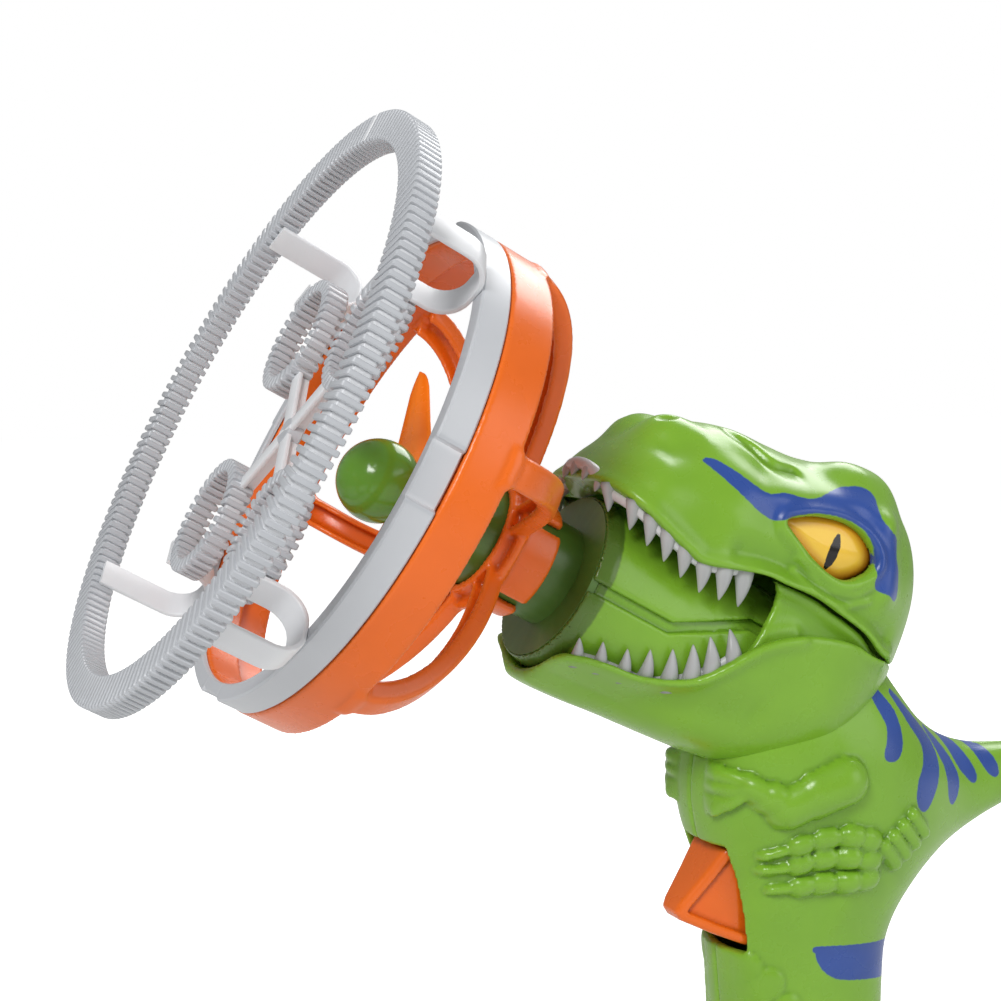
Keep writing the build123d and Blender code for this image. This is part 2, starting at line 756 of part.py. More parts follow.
half_size = plunger_size / 2
with BuildPart() as switch_body:
    add(block((rib_face, -switch_size[1] / 2, switch_z - switch_size[2] / 2),
              (rib_face + switch_size[0], switch_size[1] / 2, switch_z + switch_size[2] / 2)))
    add(block((rib_face + switch_wall, -half_size - fit, switch_z - half_size - fit),
              (reach, half_size + fit, switch_z + half_size + fit)), mode=Mode.SUBTRACT)
write(switch_body, "switch_body")

with BuildPart() as switch_plunger:
    add(block((rib_face + plunger_start, -half_size, switch_z - half_size),
              (trigger_back - plunger_gap, half_size, switch_z + half_size)))
write(switch_plunger, "switch_plunger")
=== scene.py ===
"""Visual model of the dinosaur bubble fan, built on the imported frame.

Pieces are modelled in millimetres and turned into metres as they become Blender objects. Two kinds
of piece are made: skins, which join loops of points (rings, fins, ribbons, teeth, blades), and
sculpted pieces, which are solids kept as distances on a grid (head, body, barrel, cage, trigger).
Barrel coordinates are the distance ahead of the barrel's front end, the radius and the turn, which
counts from the toy's left side towards the top.
"""

import json
import math
import bpy
import numpy as np
from mathutils import Matrix, Vector


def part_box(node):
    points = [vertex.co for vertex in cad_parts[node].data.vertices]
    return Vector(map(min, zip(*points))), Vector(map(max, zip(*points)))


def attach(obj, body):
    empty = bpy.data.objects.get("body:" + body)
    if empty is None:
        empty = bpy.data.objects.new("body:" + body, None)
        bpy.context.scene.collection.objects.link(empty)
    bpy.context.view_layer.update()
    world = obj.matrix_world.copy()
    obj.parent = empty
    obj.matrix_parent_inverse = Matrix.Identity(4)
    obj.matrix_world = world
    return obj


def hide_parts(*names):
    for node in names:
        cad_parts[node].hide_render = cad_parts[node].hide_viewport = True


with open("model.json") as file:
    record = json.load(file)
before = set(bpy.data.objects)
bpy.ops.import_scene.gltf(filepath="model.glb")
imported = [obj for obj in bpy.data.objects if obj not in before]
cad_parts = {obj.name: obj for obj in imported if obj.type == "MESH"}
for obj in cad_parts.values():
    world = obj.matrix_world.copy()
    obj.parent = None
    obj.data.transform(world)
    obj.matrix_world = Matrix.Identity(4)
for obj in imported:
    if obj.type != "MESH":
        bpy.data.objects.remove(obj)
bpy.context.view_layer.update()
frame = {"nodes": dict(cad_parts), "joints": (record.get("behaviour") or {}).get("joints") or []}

# ------------------------------------------------------------------ frame of the barrel
METRE = 0.001                    # one millimetre, in metres
spin = next(j for j in frame["joints"] if j["name"] == "fan_spin")
FORWARD = np.array(spin["axis"]) / np.linalg.norm(spin["axis"])
UP = np.array((-FORWARD[2], 0.0, FORWARD[0]))
LEFT = np.array((0.0, 1.0, 0.0))


def cad_points(node):
    """A CAD node's points in millimetres."""
    return np.array([v.co for v in frame["nodes"][node].data.vertices]) / METRE


def box_mm(node):
    """The two corners of a CAD node's box in millimetres."""
    return [np.array(corner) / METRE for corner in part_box(node)]


barrel_points = cad_points("barrel_upper")
NOSE = np.array(spin["pos_m"]) / METRE
NOSE = NOSE + FORWARD * np.max((barrel_points - NOSE) @ FORWARD)


def extent(node):
    """(back, front, smallest radius, largest radius) of a CAD node about the barrel axis."""
    offset = cad_points(node) - NOSE
    distance = offset @ FORWARD
    radius = np.hypot(offset @ LEFT, offset @ UP)
    return distance.min(), distance.max(), radius.min(), radius.max()


def on_barrel(distance, radius, turn):
    """Points from barrel coordinates; the turn is in degrees. Arrays are welcome."""
    distance, radius, turn = np.broadcast_arrays(distance, radius, np.radians(turn))
    out = np.outer(np.cos(turn).ravel(), LEFT) + np.outer(np.sin(turn).ravel(), UP)
    points = NOSE + np.outer(distance.ravel(), FORWARD) + out * radius.reshape(-1, 1)
    return points.reshape(distance.shape + (3,))


def round_about(turn):
    """The direction of a growing turn, at that turn."""
    return on_barrel(0, 1, turn + 90) - NOSE


# ------------------------------------------------------------------ meshes
def skin(loops, closed=False):
    """(points, faces) of the surface through loops of equal length; closed joins the last to the first."""
    loops = np.asarray(loops, float)
    count, size = loops.shape[:2]
    index = np.arange(count * size).reshape(count, size)
    first, second = (index, np.roll(index, -1, 0)) if closed else (index[:-1], index[1:])
    faces = np.stack([first, np.roll(first, -1, 1), np.roll(second, -1, 1), second], -1)
    faces = faces.reshape(-1, 4).tolist()
    if not closed:
        faces += [index[0, ::-1].tolist(), index[-1].tolist()]
    return loops.reshape(-1, 3), faces


def joined(parts):
    """One (points, faces) from several."""
    points, faces, base = [], [], 0
    for some, more in parts:
        points.append(some)
        faces += [[base + k for k in face] for face in more]
        base += len(some)
    return np.concatenate(points), faces


def rounded(width, height, radius, steps=4):
    """Outline of a rectangle with round corners about the origin, anticlockwise."""
    across, high = width / 2 - radius, height / 2 - radius
    outline = []
    for x, y, start in ((across, high, 0), (-across, high, 90), (-across, -high, 180), (across, -high, 270)):
        for angle in np.radians(start + np.linspace(0, 90, steps + 1)):
            outline.append((x + radius * math.cos(angle), y + radius * math.sin(angle)))
    return np.array(outline)


def smooth_line(points, steps=8):
    """A smooth line through the points."""
    points = np.asarray(points, float)
    padded = np.concatenate([[2 * points[0] - points[1]], points, [2 * points[-1] - points[-2]]])
    line = []
    for a, b, c, d in zip(padded, padded[1:], padded[2:], padded[3:]):
        for t in np.arange(steps) / steps:
            line.append(0.5 * (2 * b + (c - a) * t + (2 * a - 5 * b + 4 * c - d) * t ** 2
                               + (3 * b - a - 3 * c + d) * t ** 3))
    return np.array(line + [points[-1]])


def swept(path, section, side):
    """A skin along a path; the section's x runs along `side` and its y square to side and path."""
    path = np.asarray(path, float)
    along = np.gradient(path, axis=0)
    along /= np.linalg.norm(along, axis=1, keepdims=True)
    side = np.broadcast_to(np.asarray(side, float), path.shape)
    side = side - along * np.sum(side * along, 1, keepdims=True)
    side = side / np.linalg.norm(side, axis=1, keepdims=True)
    other = np.cross(along, side)
    return skin(path[:, None] + side[:, None] * section[:, :1] + other[:, None] * section[:, 1:])


def lathe(profile, steps=256):
    """A ring about the barrel axis from its closed profile of (radius, distance)."""
    profile = np.asarray(profile, float)
    turns = np.arange(steps) * 360 / steps
    return skin([on_barrel(profile[:, 1], profile[:, 0], turn) for turn in turns], closed=True)


def placed(name, data):
    """A Blender object in the scene for some data."""
    new = bpy.data.objects.new(name, data)
    bpy.context.scene.collection.objects.link(new)
    return new


def piece(name, made, body, material, nodes=(), sharp=None, paints=None):
    """A Blender object from (points, faces), riding on its body and standing for its CAD nodes."""
    points, faces = made
    mesh = bpy.data.meshes.new(name)
    mesh.from_pydata((np.asarray(points) * METRE).tolist(), [], faces)
    mesh.polygons.foreach_set("use_smooth", np.ones(len(mesh.polygons), bool))
    if sharp:
        mesh.set_sharp_from_angle(angle=math.radians(sharp))
    for label, values in (paints or {}).items():
        layer = mesh.attributes.new(label, "FLOAT", "POINT")
        layer.data.foreach_set("value", np.asarray(values, np.float32))
    mesh.update()
    mesh.materials.append(material)
    new = placed(name, mesh)
    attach(new, body)
    if nodes:
        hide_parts(*nodes)


# ------------------------------------------------------------------ outlines in the toy's side view
def line_distance(x, z, points):
    """Distance from (x, z) to a line of points."""
    best = np.full(np.broadcast(x, z).shape, 1e9)
    for (ax, az), (bx, bz) in zip(points, points[1:]):
        dx, dz = bx - ax, bz - az
        share = np.clip(((x - ax) * dx + (z - az) * dz) / (dx * dx + dz * dz + 1e-9), 0, 1)
        best = np.minimum(best, np.hypot(x - ax - share * dx, z - az - share * dz))
    return best


def region_distance(x, z, points):
    """Distance from (x, z) to the edge of a region, negative inside."""
    closed = np.concatenate([points, points[:1]])
    inside = np.zeros(np.broadcast(x, z).shape, bool)
    for (ax, az), (bx, bz) in zip(closed, closed[1:]):
        if az != bz:
            inside ^= ((az > z) != (bz > z)) & (x < (bx - ax) * (z - az) / (bz - az) + ax)
    return np.where(inside, -1, 1) * line_distance(x, z, closed)


def closed_line(points, steps=6):
    """A smooth closed outline through the points."""
    points = np.asarray(points, float)
    around = smooth_line(np.concatenate([points[-2:], points, points[:2]]), steps)
    return around[2 * steps:-2 * steps - 1]


# ------------------------------------------------------------------ sculpted solids
def smooth_min(a, b, soft):
    """The lesser of two distances, blended over `soft`: a union with a fillet."""
    blend = np.clip(0.5 + 0.5 * (b - a) / soft, 0, 1)
    return b + (a - b) * blend - soft * blend * (1 - blend)


def smooth_max(a, b, soft):
    """The greater of two distances, blended over `soft`: an intersection with a rounded edge."""
    return -smooth_min(-a, -b, soft)


class Grid:
    """A block of points in millimetres; x, y and z broadcast against each other."""

    def __init__(self, low, high, cell):
        self.low, self.cell = np.array(low, float), cell
        counts = np.ceil((np.array(high) - self.low) / cell).astype(int) + 1
        rows = [self.low[k] + cell * np.arange(counts[k]) for k in range(3)]
        self.x, self.y, self.z = np.meshgrid(*rows, indexing="ij", sparse=True)

    def centre(self):
        """Moves the block so that it reaches equally far to both sides of the toy."""
        self.y = self.y - (self.y[0, -1, 0] + self.y[0, 0, 0]) / 2
        self.low[1] = self.y[0, 0, 0]

    def sheet(self, outline):
        """Distance to the edge of a region in the side view, the same all the way across the toy."""
        return region_distance(self.x[:, 0, :], self.z[:, 0, :], np.asarray(outline))[:, None, :]

    def barrel(self):
        """(distance, left, up) of the points in the barrel's frame."""
        x, z = self.x - NOSE[0], self.z - NOSE[2]
        return x * FORWARD[0] + z * FORWARD[2], self.y + 0 * x, x * UP[0] + z * UP[2] + 0 * self.y

    def mesh(self, values):
        """The surface where the distances are zero, with one point in each crossed cell."""
        values = np.broadcast_to(values, np.broadcast(self.x, self.y, self.z).shape)
        cells = np.array(values.shape) - 1
        size = int(np.prod(cells))
        total, count, quads = np.zeros((3, size)), np.zeros(size), []
        for axis in range(3):
            others = [k for k in range(3) if k != axis]
            lower = np.moveaxis(values, axis, 0)[:-1]
            upper = np.moveaxis(values, axis, 0)[1:]
            crossed = (lower < 0) != (upper < 0)
            corner = np.empty((int(crossed.sum()), 3), int)
            corner[:, [axis] + others] = np.argwhere(crossed)
            share = lower[crossed] / (lower[crossed] - upper[crossed])
            leaving = lower[crossed] < 0
            keep = np.all([(corner[:, k] > 0) & (corner[:, k] < cells[k]) for k in others], 0)
            corner, share, leaving = corner[keep], share[keep], leaving[keep]
            around = []
            for a, b in ((1, 1), (0, 1), (0, 0), (1, 0)):
                place = corner.copy()
                place[:, others[0]] -= a
                place[:, others[1]] -= b
                flat = np.ravel_multi_index(place.T, cells)
                point = corner.astype(float)
                point[:, axis] += share
                for k in range(3):
                    total[k] += np.bincount(flat, point[:, k], minlength=size)
                count += np.bincount(flat, minlength=size)
                around.append(flat)
            quad = np.stack(around, 1)
            backward = leaving if axis == 1 else ~leaving
            quad[backward] = quad[backward, ::-1]
            quads.append(quad)
        used = np.flatnonzero(count)
        number = np.zeros(size, int)
        number[used] = np.arange(len(used))
        points = (total[:, used] / count[used]).T * self.cell + self.low
        return points, number[np.concatenate(quads)].tolist()


# ------------------------------------------------------------------ materials
def new_material(name):
    """(material, its nodes, its links, its shader)."""
    material = bpy.data.materials.new(name)
    material.use_nodes = True
    tree = material.node_tree
    return material, tree.nodes, tree.links, tree.nodes["Principled BSDF"]


def noise(nodes, links, scale, detail=3.0, stretch=None):
    """A noise texture in object coordinates; scale is in waves for each metre."""
    place = nodes.new("ShaderNodeTexCoord")
    texture = nodes.new("ShaderNodeTexNoise")
    texture.inputs["Scale"].default_value = scale
    texture.inputs["Detail"].default_value = detail
    if stretch:
        mapping = nodes.new("ShaderNodeMapping")
        mapping.inputs["Scale"].default_value = stretch
        links.new(place.outputs["Object"], mapping.inputs["Vector"])
        links.new(mapping.outputs["Vector"], texture.inputs["Vector"])
    else:
        links.new(place.outputs["Object"], texture.inputs["Vector"])
    return texture.outputs["Fac"]


def ranged(nodes, links, source, low, high, start, end):
    """The source mapped from low..high onto start..end, and held there."""
    node = nodes.new("ShaderNodeMapRange")
    for socket, value in zip(("From Min", "From Max", "To Min", "To Max"), (low, high, start, end)):
        node.inputs[socket].default_value = value
    links.new(source, node.inputs["Value"])
    return node.outputs["Result"]


def mixed(nodes, links, factor, first, second):
    """Two colours mixed by the factor; each is a colour or a socket."""
    node = nodes.new("ShaderNodeMix")
    node.data_type = "RGBA"
    links.new(factor, node.inputs[0])
    for socket, value in ((node.inputs[6], first), (node.inputs[7], second)):
        if isinstance(value, tuple):
            socket.default_value = (*value, 1)
        else:
            links.new(value, socket)
    return node.outputs[2]


def bumped(nodes, links, shader, height, strength, distance):
    """A bump on the shader; the distance is in metres."""
    bump = nodes.new("ShaderNodeBump")
    bump.inputs["Strength"].default_value = strength
    bump.inputs["Distance"].default_value = distance
    links.new(height, bump.inputs["Height"])
    links.new(bump.outputs["Normal"], shader.inputs["Normal"])


def moulded(name, colour, shade, roughness=0.28, specular=0.5, peel=0.06, paints=(), light=None):
    """Moulded plastic: slight cloudiness, painted shade darkening the hollows and creases (by pointiness),
    paler edges, fine scratches and orange peel.
    Each paint is (attribute, colour, edge in millimetres) and covers where the attribute is negative."""
    material, nodes, links, shader = new_material(name)
    cloud = ranged(nodes, links, noise(nodes, links, 45.0), 0.35, 0.65, 0.0, 1.0)
    middle = tuple((a + b) / 2 for a, b in zip(colour, shade))
    base = mixed(nodes, links, cloud, colour, tuple(0.75 * a + 0.25 * b for a, b in zip(colour, middle)))
    bent = nodes.new("ShaderNodeNewGeometry").outputs["Pointiness"]
    # painted shade: hollows and creases are drawn darker, towards the shade colour, by pointiness
    base = mixed(nodes, links, ranged(nodes, links, bent, 0.42, 0.5, 0.85, 0.0), base, shade)
    pale = light or tuple(min(1.0, 1.25 * a + 0.02) for a in colour)
    base = mixed(nodes, links, ranged(nodes, links, bent, 0.51, 0.6, 0.0, 0.5), base, pale)
    for attribute, paint, edge in paints:
        read = nodes.new("ShaderNodeAttribute")
        read.attribute_name = attribute
        grain = noise(nodes, links, 900.0)
        spread = nodes.new("ShaderNodeMath")
        spread.operation = "MULTIPLY_ADD"
        links.new(grain, spread.inputs[0])
        spread.inputs[1].default_value = 0.5
        links.new(read.outputs["Fac"], spread.inputs[2])
        cover = ranged(nodes, links, spread.outputs[0], 0.25 - edge, 0.25 + edge, 1.0, 0.0)
        tone = mixed(nodes, links, cloud, paint, tuple(0.8 * a for a in paint))
        base = mixed(nodes, links, cover, base, tone)
    links.new(base, shader.inputs["Base Color"])
    scuff = noise(nodes, links, 120.0, 6.0)
    rough = ranged(nodes, links, scuff, 0.35, 0.7, roughness * 0.92, roughness * 1.2)
    links.new(rough, shader.inputs["Roughness"])
    shader.inputs["Specular IOR Level"].default_value = specular
    bumped(nodes, links, shader, noise(nodes, links, 380.0, 2.0), peel, 0.0004)
    return material


def metal(name, colour, shade, roughness=0.3, stretch=(1.0, 1.0, 14.0)):
    """Plated or drawn metal with a brushed grain and faint tarnish."""
    material, nodes, links, shader = new_material(name)
    grain = noise(nodes, links, 700.0, 5.0, stretch)
    stain = ranged(nodes, links, noise(nodes, links, 90.0), 0.35, 0.7, 0.0, 1.0)
    links.new(mixed(nodes, links, stain, colour, shade), shader.inputs["Base Color"])
    rough = ranged(nodes, links, grain, 0.3, 0.7, roughness * 0.7, roughness * 1.4)
    links.new(rough, shader.inputs["Roughness"])
    shader.inputs["Metallic"].default_value = 1.0
    bumped(nodes, links, shader, grain, 0.15, 0.0002)
    return material


def battery_wrap(name):
    """Printed battery wrap: a dark can with a coloured top band and a bare steel end, split by height."""
    material, nodes, links, shader = new_material(name)
    low, high = (corner[2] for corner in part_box("battery_front"))
    place = nodes.new("ShaderNodeTexCoord")
    split = nodes.new("ShaderNodeSeparateXYZ")
    links.new(place.outputs["Object"], split.inputs["Vector"])
    height = ranged(nodes, links, split.outputs["Z"], low, high, 0.0, 1.0)
    bands = nodes.new("ShaderNodeValToRGB")
    bands.color_ramp.interpolation = "CONSTANT"
    stops = ((0.0, (0.6, 0.6, 0.6)), (0.03, (0.03, 0.035, 0.045)), (0.66, (0.72, 0.36, 0.12)),
             (0.95, (0.03, 0.035, 0.045)), (0.975, (0.65, 0.65, 0.65)))
    bands.color_ramp.elements[0].color = (*stops[0][1], 1)
    bands.color_ramp.elements[1].position = stops[1][0]
    bands.color_ramp.elements[1].color = (*stops[1][1], 1)
    for position, colour in stops[2:]:
        bands.color_ramp.elements.new(position).color = (*colour, 1)
    links.new(height, bands.inputs["Fac"])
    worn = ranged(nodes, links, noise(nodes, links, 300.0, 5.0), 0.62, 0.7, 0.0, 0.5)
    tone = mixed(nodes, links, worn, bands.outputs["Color"], (0.35, 0.35, 0.36))
    links.new(tone, shader.inputs["Base Color"])
    shader.inputs["Metallic"].default_value = 0.6
    rough = ranged(nodes, links, noise(nodes, links, 150.0), 0.3, 0.7, 0.25, 0.4)
    links.new(rough, shader.inputs["Roughness"])
    return material


GREEN, GREEN_SHADE = (0.215, 0.45, 0.028), (0.06, 0.16, 0.012)
BLUE = (0.03, 0.085, 0.36)
green = moulded("green_plastic", GREEN, GREEN_SHADE, 0.27, peel=0.05, paints=(("blue_paint", BLUE, 0.12),))
plain_green = moulded("plain_green_plastic", GREEN, GREEN_SHADE, 0.27, peel=0.05)
# painted shade: a darker green for the nose plate's front face, standing in for the shadow it sits in inside
# the barrel's front
painted_shade_green = moulded("painted_shade_green_plastic", (0.075, 0.17, 0.02), (0.03, 0.08, 0.01), 0.3, peel=0.05)
# painted shade: a dark olive band over the barrel's front bevel, standing in for the shade the bevel lies in
barrel_green = moulded("barrel_plastic", GREEN, GREEN_SHADE, 0.27, peel=0.05,
                       paints=(("front_ring_shade", (0.1, 0.2, 0.022), 0.3),))
ball_green = moulded("ball_green_plastic", (0.13, 0.32, 0.03), (0.05, 0.13, 0.012), 0.16, peel=0.03)
orange = moulded("orange_plastic", (0.88, 0.155, 0.008), (0.3, 0.035, 0.004), 0.27, peel=0.05)
bright_orange = moulded("bright_orange_plastic", (0.95, 0.2, 0.008), (0.5, 0.07, 0.004), 0.25, peel=0.04)
white = moulded("white_plastic", (0.8, 0.81, 0.83), (0.46, 0.48, 0.51), 0.33, peel=0.05,
                light=(0.88, 0.89, 0.9))
grey = moulded("grey_plastic", (0.5, 0.51, 0.52), (0.2, 0.21, 0.21), 0.35, peel=0.05)
tooth = moulded("tooth_plastic", (0.6, 0.61, 0.62), (0.2, 0.21, 0.2), 0.3, peel=0.08)
black = moulded("black_plastic", (0.02, 0.02, 0.022), (0.008, 0.008, 0.008), 0.5, peel=0.12)
eye_paint = moulded("eye_plastic", (0.95, 0.6, 0.06), (0.8, 0.35, 0.02), 0.12, peel=0.01,
                    paints=(("eye_rim", (0.75, 0.27, 0.01), 1.6), ("pupil", (0.008, 0.006, 0.005), 0.1)))
plated = metal("plated_steel", (0.72, 0.72, 0.74), (0.55, 0.55, 0.57))
steel = metal("steel", (0.52, 0.53, 0.55), (0.36, 0.36, 0.37), 0.35)
wrap = battery_wrap("battery_case")

# ------------------------------------------------------------------ wand: ribbed rings, brackets and band
_, ring_front, _, ring_radius = extent("bubble_ring_large")
RING_SECTION, RING_WIDTH = 8.4, 6.6      # radial and axial size of the large ring
FIN_PITCH = 2.65                         # distance between fins round the ring's outside
FIN_THICKNESS = 1.5
FIN_CHAMFER = 0.25
FIN_PROFILE = ((-0.5, FIN_CHAMFER), (FIN_CHAMFER / FIN_THICKNESS - 0.5, 0),
               (0.5 - FIN_CHAMFER / FIN_THICKNESS, 0), (0.5, FIN_CHAMFER))    # place, inset of the outline
CORE_DEPTH = 0.9                         # how far the ring's core lies below its fins
BRACKET_TURNS = (45, 135, 225, 315)
BRACKET_WIDTH, RIBBON, BEND = 8.0, 1.4, 7.0
cluster_back, cluster_front, _, cluster_radius = extent("bubble_ring_cluster")
SMALL_RADIUS, SMALL_SECTION = 16.0, 3.6
small_offset = cluster_radius - SMALL_RADIUS
band_back, band_front, _, band_radius = extent("wand_band")


def ribbed_ring(front, radius, section, width, centre=(0.0, 0.0)):
    """A ring of fins over a core. The centre is (offset from the barrel axis, its turn)."""
    shift = on_barrel(0, centre[0], centre[1]) - NOSE
    outline = rounded(section, width, 0.6, 3)
    core = rounded(section - 2 * CORE_DEPTH, width - 2 * CORE_DEPTH, 0.8, 3)
    middle_radius, middle = radius - section / 2, front - width / 2
    steps = 240
    loops = [on_barrel(middle + core[:, 1], middle_radius + core[:, 0], 360 * k / steps)
             for k in range(steps)]
    parts = [skin(loops, closed=True)]
    count = int(2 * math.pi * radius / FIN_PITCH)
    for k in range(count):
        turn = 360 * k / count
        loops = []
        for offset, inset in FIN_PROFILE:
            edge = outline * (1 - 2 * inset / section, 1 - 2 * inset / width)
            loops.append(on_barrel(middle + edge[:, 1], middle_radius + edge[:, 0], turn)
                         + round_about(turn) * offset * FIN_THICKNESS)
        parts.append(skin(loops))
    points, faces = joined(parts)
    return points + shift, faces


def bracket(turn):
    """A bent ribbon from inside the large ring, in along the band's front and forward to the cluster."""
    outer = ring_radius - RING_SECTION - RIBBON / 2
    inner = small_offset + SMALL_RADIUS + RIBBON / 2
    foot = band_front + RIBBON / 2
    corners = [(outer, ring_front - 2.2), (outer, ring_front - 6)]
    for start, middle in ((0, outer - BEND), (90, inner + BEND)):
        for angle in np.radians(start + np.linspace(0, 90, 9)):
            corners.append((middle + BEND * math.cos(angle), foot + BEND - BEND * math.sin(angle)))
    corners += [(inner, cluster_front - 3), (inner, cluster_front)]
    path = np.array([on_barrel(distance, radius, turn) for radius, distance in corners])
    return swept(path, rounded(BRACKET_WIDTH, RIBBON, 0.45, 3), round_about(turn))


def spoke(turn):
    """T-section spoke of the cluster: a thin flat with a rib standing on its back."""
    parts = []
    length = small_offset - SMALL_RADIUS + SMALL_SECTION / 2
    for width, depth, middle in ((4.2, 1.3, 3.2), (1.5, 3.6, 1.8)):
        path = on_barrel(cluster_back + middle, np.linspace(0, length, 5), turn)
        parts.append(swept(path, rounded(width, depth, 0.4, 2), round_about(turn)))
    return joined(parts)


def band():
    """The snap band, with a flat window sunk into it in four places."""
    wall, lip_depth, lip, edge = 2.4, 2.2, 1.2, 0.5
    window_half, sunk = 7.0, 1.1
    bore = band_radius - wall
    bead = bore - lip_depth
    loops = []
    for turn in np.arange(0, 360, 0.5):
        nearest = abs((turn + 45) % 90 - 45) * math.pi / 180 * band_radius
        fade = min(max((nearest - window_half) / edge, 0), 1)
        outer = band_radius - sunk * (1 - fade)
        profile = np.array([(bore, band_back), (outer - edge, band_back), (outer, band_back + edge),
                            (outer, band_front - edge), (outer - edge, band_front), (bead + edge, band_front),
                            (bead, band_front - edge), (bead, band_front - lip), (bore, band_front - lip)])
        loops.append(on_barrel(profile[:, 1], profile[:, 0], turn))
    return skin(loops, closed=True)


large_ring = ribbed_ring(ring_front, ring_radius, RING_SECTION, RING_WIDTH)
brackets = joined([bracket(turn) for turn in BRACKET_TURNS])
small_rings = [ribbed_ring(cluster_front, SMALL_RADIUS, SMALL_SECTION, cluster_front - cluster_back,
                           (small_offset, turn)) for turn in BRACKET_TURNS]
hub = lathe([(0.05, cluster_back), (3.2, cluster_back), (3.6, cluster_back + 0.4), (3.6, cluster_back + 3.6),
             (3.2, cluster_back + 4), (0.05, cluster_back + 4)], 40)
cluster = joined(small_rings + [spoke(turn) for turn in BRACKET_TURNS] + [hub])
for name, made, nodes, sharp in (("ribbed_ring_large", large_ring, (), 35),
                                 ("ring_brackets", brackets, ("bubble_ring_large",), 50),
                                 ("ribbed_ring_cluster", cluster, ("bubble_ring_cluster",), 35),
                                 ("snap_band", band(), ("wand_band",), 35)):
    piece(name, made, "wand", white, nodes, sharp)

# ------------------------------------------------------------------ fan cage
_, cage_front, _, _ = extent("fan_cage")
CAGE_CELL = 0.62
ARM_COUNT, SLOT_COUNT = 6, 4
ARM_TURN, ARM_SWIRL = 8.0, 14.0          # turn of an arm at the rim, and how far it has swirled on at the hub
ARM_HALF, FLANGE, SKIN = 4.0, 5.0, 1.6   # half width of an arm, depth of its sides, thickness
rim_front, rim_back = band_back - 0.3, band_back - 10.9
BOWL_DEPTH = 32.0
HUB_RADIUS, HUB_SKIN = 19.0, 2.4
RIM_WALL = 2.2
SPIGOT_INSET = 2.7                       # the spigot's outside lies this far inside the rim's
COLLAR_RADIUS, COLLAR_START, COLLAR_END = 15.8, 8.0, 24.0
SLOT_TURN, SLOT_HALF, SLOT_END = 37.0, 1.75, 17.0
POD_BORE = 13.75


def nearest_of(count, turn):
    """The turn from the nearest of so many even places."""
    return (turn + 180 / count) % (360 / count) - 180 / count


def tube(s, radius, outer, back, front, edge):
    """Distance to a thin tube about the barrel axis, with rounded edges."""
    return smooth_max(smooth_max(radius - outer, outer - RIM_WALL - radius, edge),
                      smooth_max(s - front, back - s, edge), edge)


def cage():
    """The cage: rim and spigot, six channel arms that widen into the rim, and a slotted collar."""
    corners = on_barrel(*np.meshgrid((-1, cage_front + 2), (band_radius + 2,), np.arange(0, 360, 10)))
    corners = corners.reshape(-1, 3)
    grid = Grid(corners.min(0), corners.max(0), CAGE_CELL)
    s, left, up = grid.barrel()
    radius = np.hypot(left, up)
    # the bowl is half an ellipsoid of revolution; its offset is measured square to the skin
    wide, deep = band_radius, BOWL_DEPTH
    a = np.hypot(radius / wide, (s - rim_back) / deep)
    b = np.hypot(radius / wide ** 2, (s - rim_back) / deep ** 2) + 1e-6
    bowl = a * (a - 1) / b
    behind = s - rim_back
    turn = np.degrees(np.arctan2(up, left))
    inward = np.clip((wide - radius) / (wide - COLLAR_RADIUS), 0, 1)
    beside = radius * np.sin(np.radians(nearest_of(ARM_COUNT, turn - ARM_TURN - ARM_SWIRL * inward)))
    # each arm is a channel: a skin on the bowl with a flange along each side, open towards the fan
    depth = np.maximum(bowl, -bowl - FLANGE)
    across = np.abs(beside) - ARM_HALF
    arm = smooth_max(depth, across, 1.4)
    channel = smooth_max(bowl + SKIN, across + SKIN, 1.4)
    arm = smooth_max(arm, -channel, 0.5)
    arm = np.maximum(arm, np.maximum(behind, COLLAR_RADIUS - 1 - radius))
    hub = smooth_max(smooth_max(bowl, -bowl - HUB_SKIN, 0.8), radius - HUB_RADIUS, 1.2)
    hub = np.maximum(hub, behind)
    shell = tube(s, radius, wide, rim_back - 1.2, rim_front, 0.8)
    spigot = tube(s, radius, wide - SPIGOT_INSET, rim_front - 3, cage_front, 0.6)
    collar = smooth_max(smooth_max(radius - COLLAR_RADIUS, COLLAR_START - s, 1.2), s - COLLAR_END, 0.5)
    off_slot = np.abs(radius * np.sin(np.radians(nearest_of(SLOT_COUNT, turn - SLOT_TURN))))
    collar = smooth_max(collar, -smooth_max(off_slot - SLOT_HALF, s - SLOT_END, 1.5), 0.8)
    solid = smooth_min(arm, hub, 1.2)
    solid = smooth_min(solid, shell, 2.2)
    solid = smooth_min(solid, collar, 1.2)
    solid = np.minimum(solid, spigot)
    bore = np.maximum(radius - POD_BORE, s - rim_back)
    return grid.mesh(np.maximum(solid, -bore))


piece("fan_cage_moulding", cage(), "root", orange, ["fan_cage"])

# ------------------------------------------------------------------ fan blades and hub ball
fan_back, fan_front, _, blade_radius = extent("fan_blades")
ball_back, ball_front, _, ball_radius = extent("fan_hub_ball")
fan_plane = (fan_back + fan_front) / 2
BLADE_TURNS, BLADE_ROOT = (15, 135, 255), 6.5
CHORD, CHORD_LOSS = 13.0, 8.0            # each at the root, and its loss from root to tip
THICKNESS, THICKNESS_LOSS = 1.6, 0.7
PITCH, PITCH_LOSS = 30.0, 12.0
BALL_WALL = 1.6


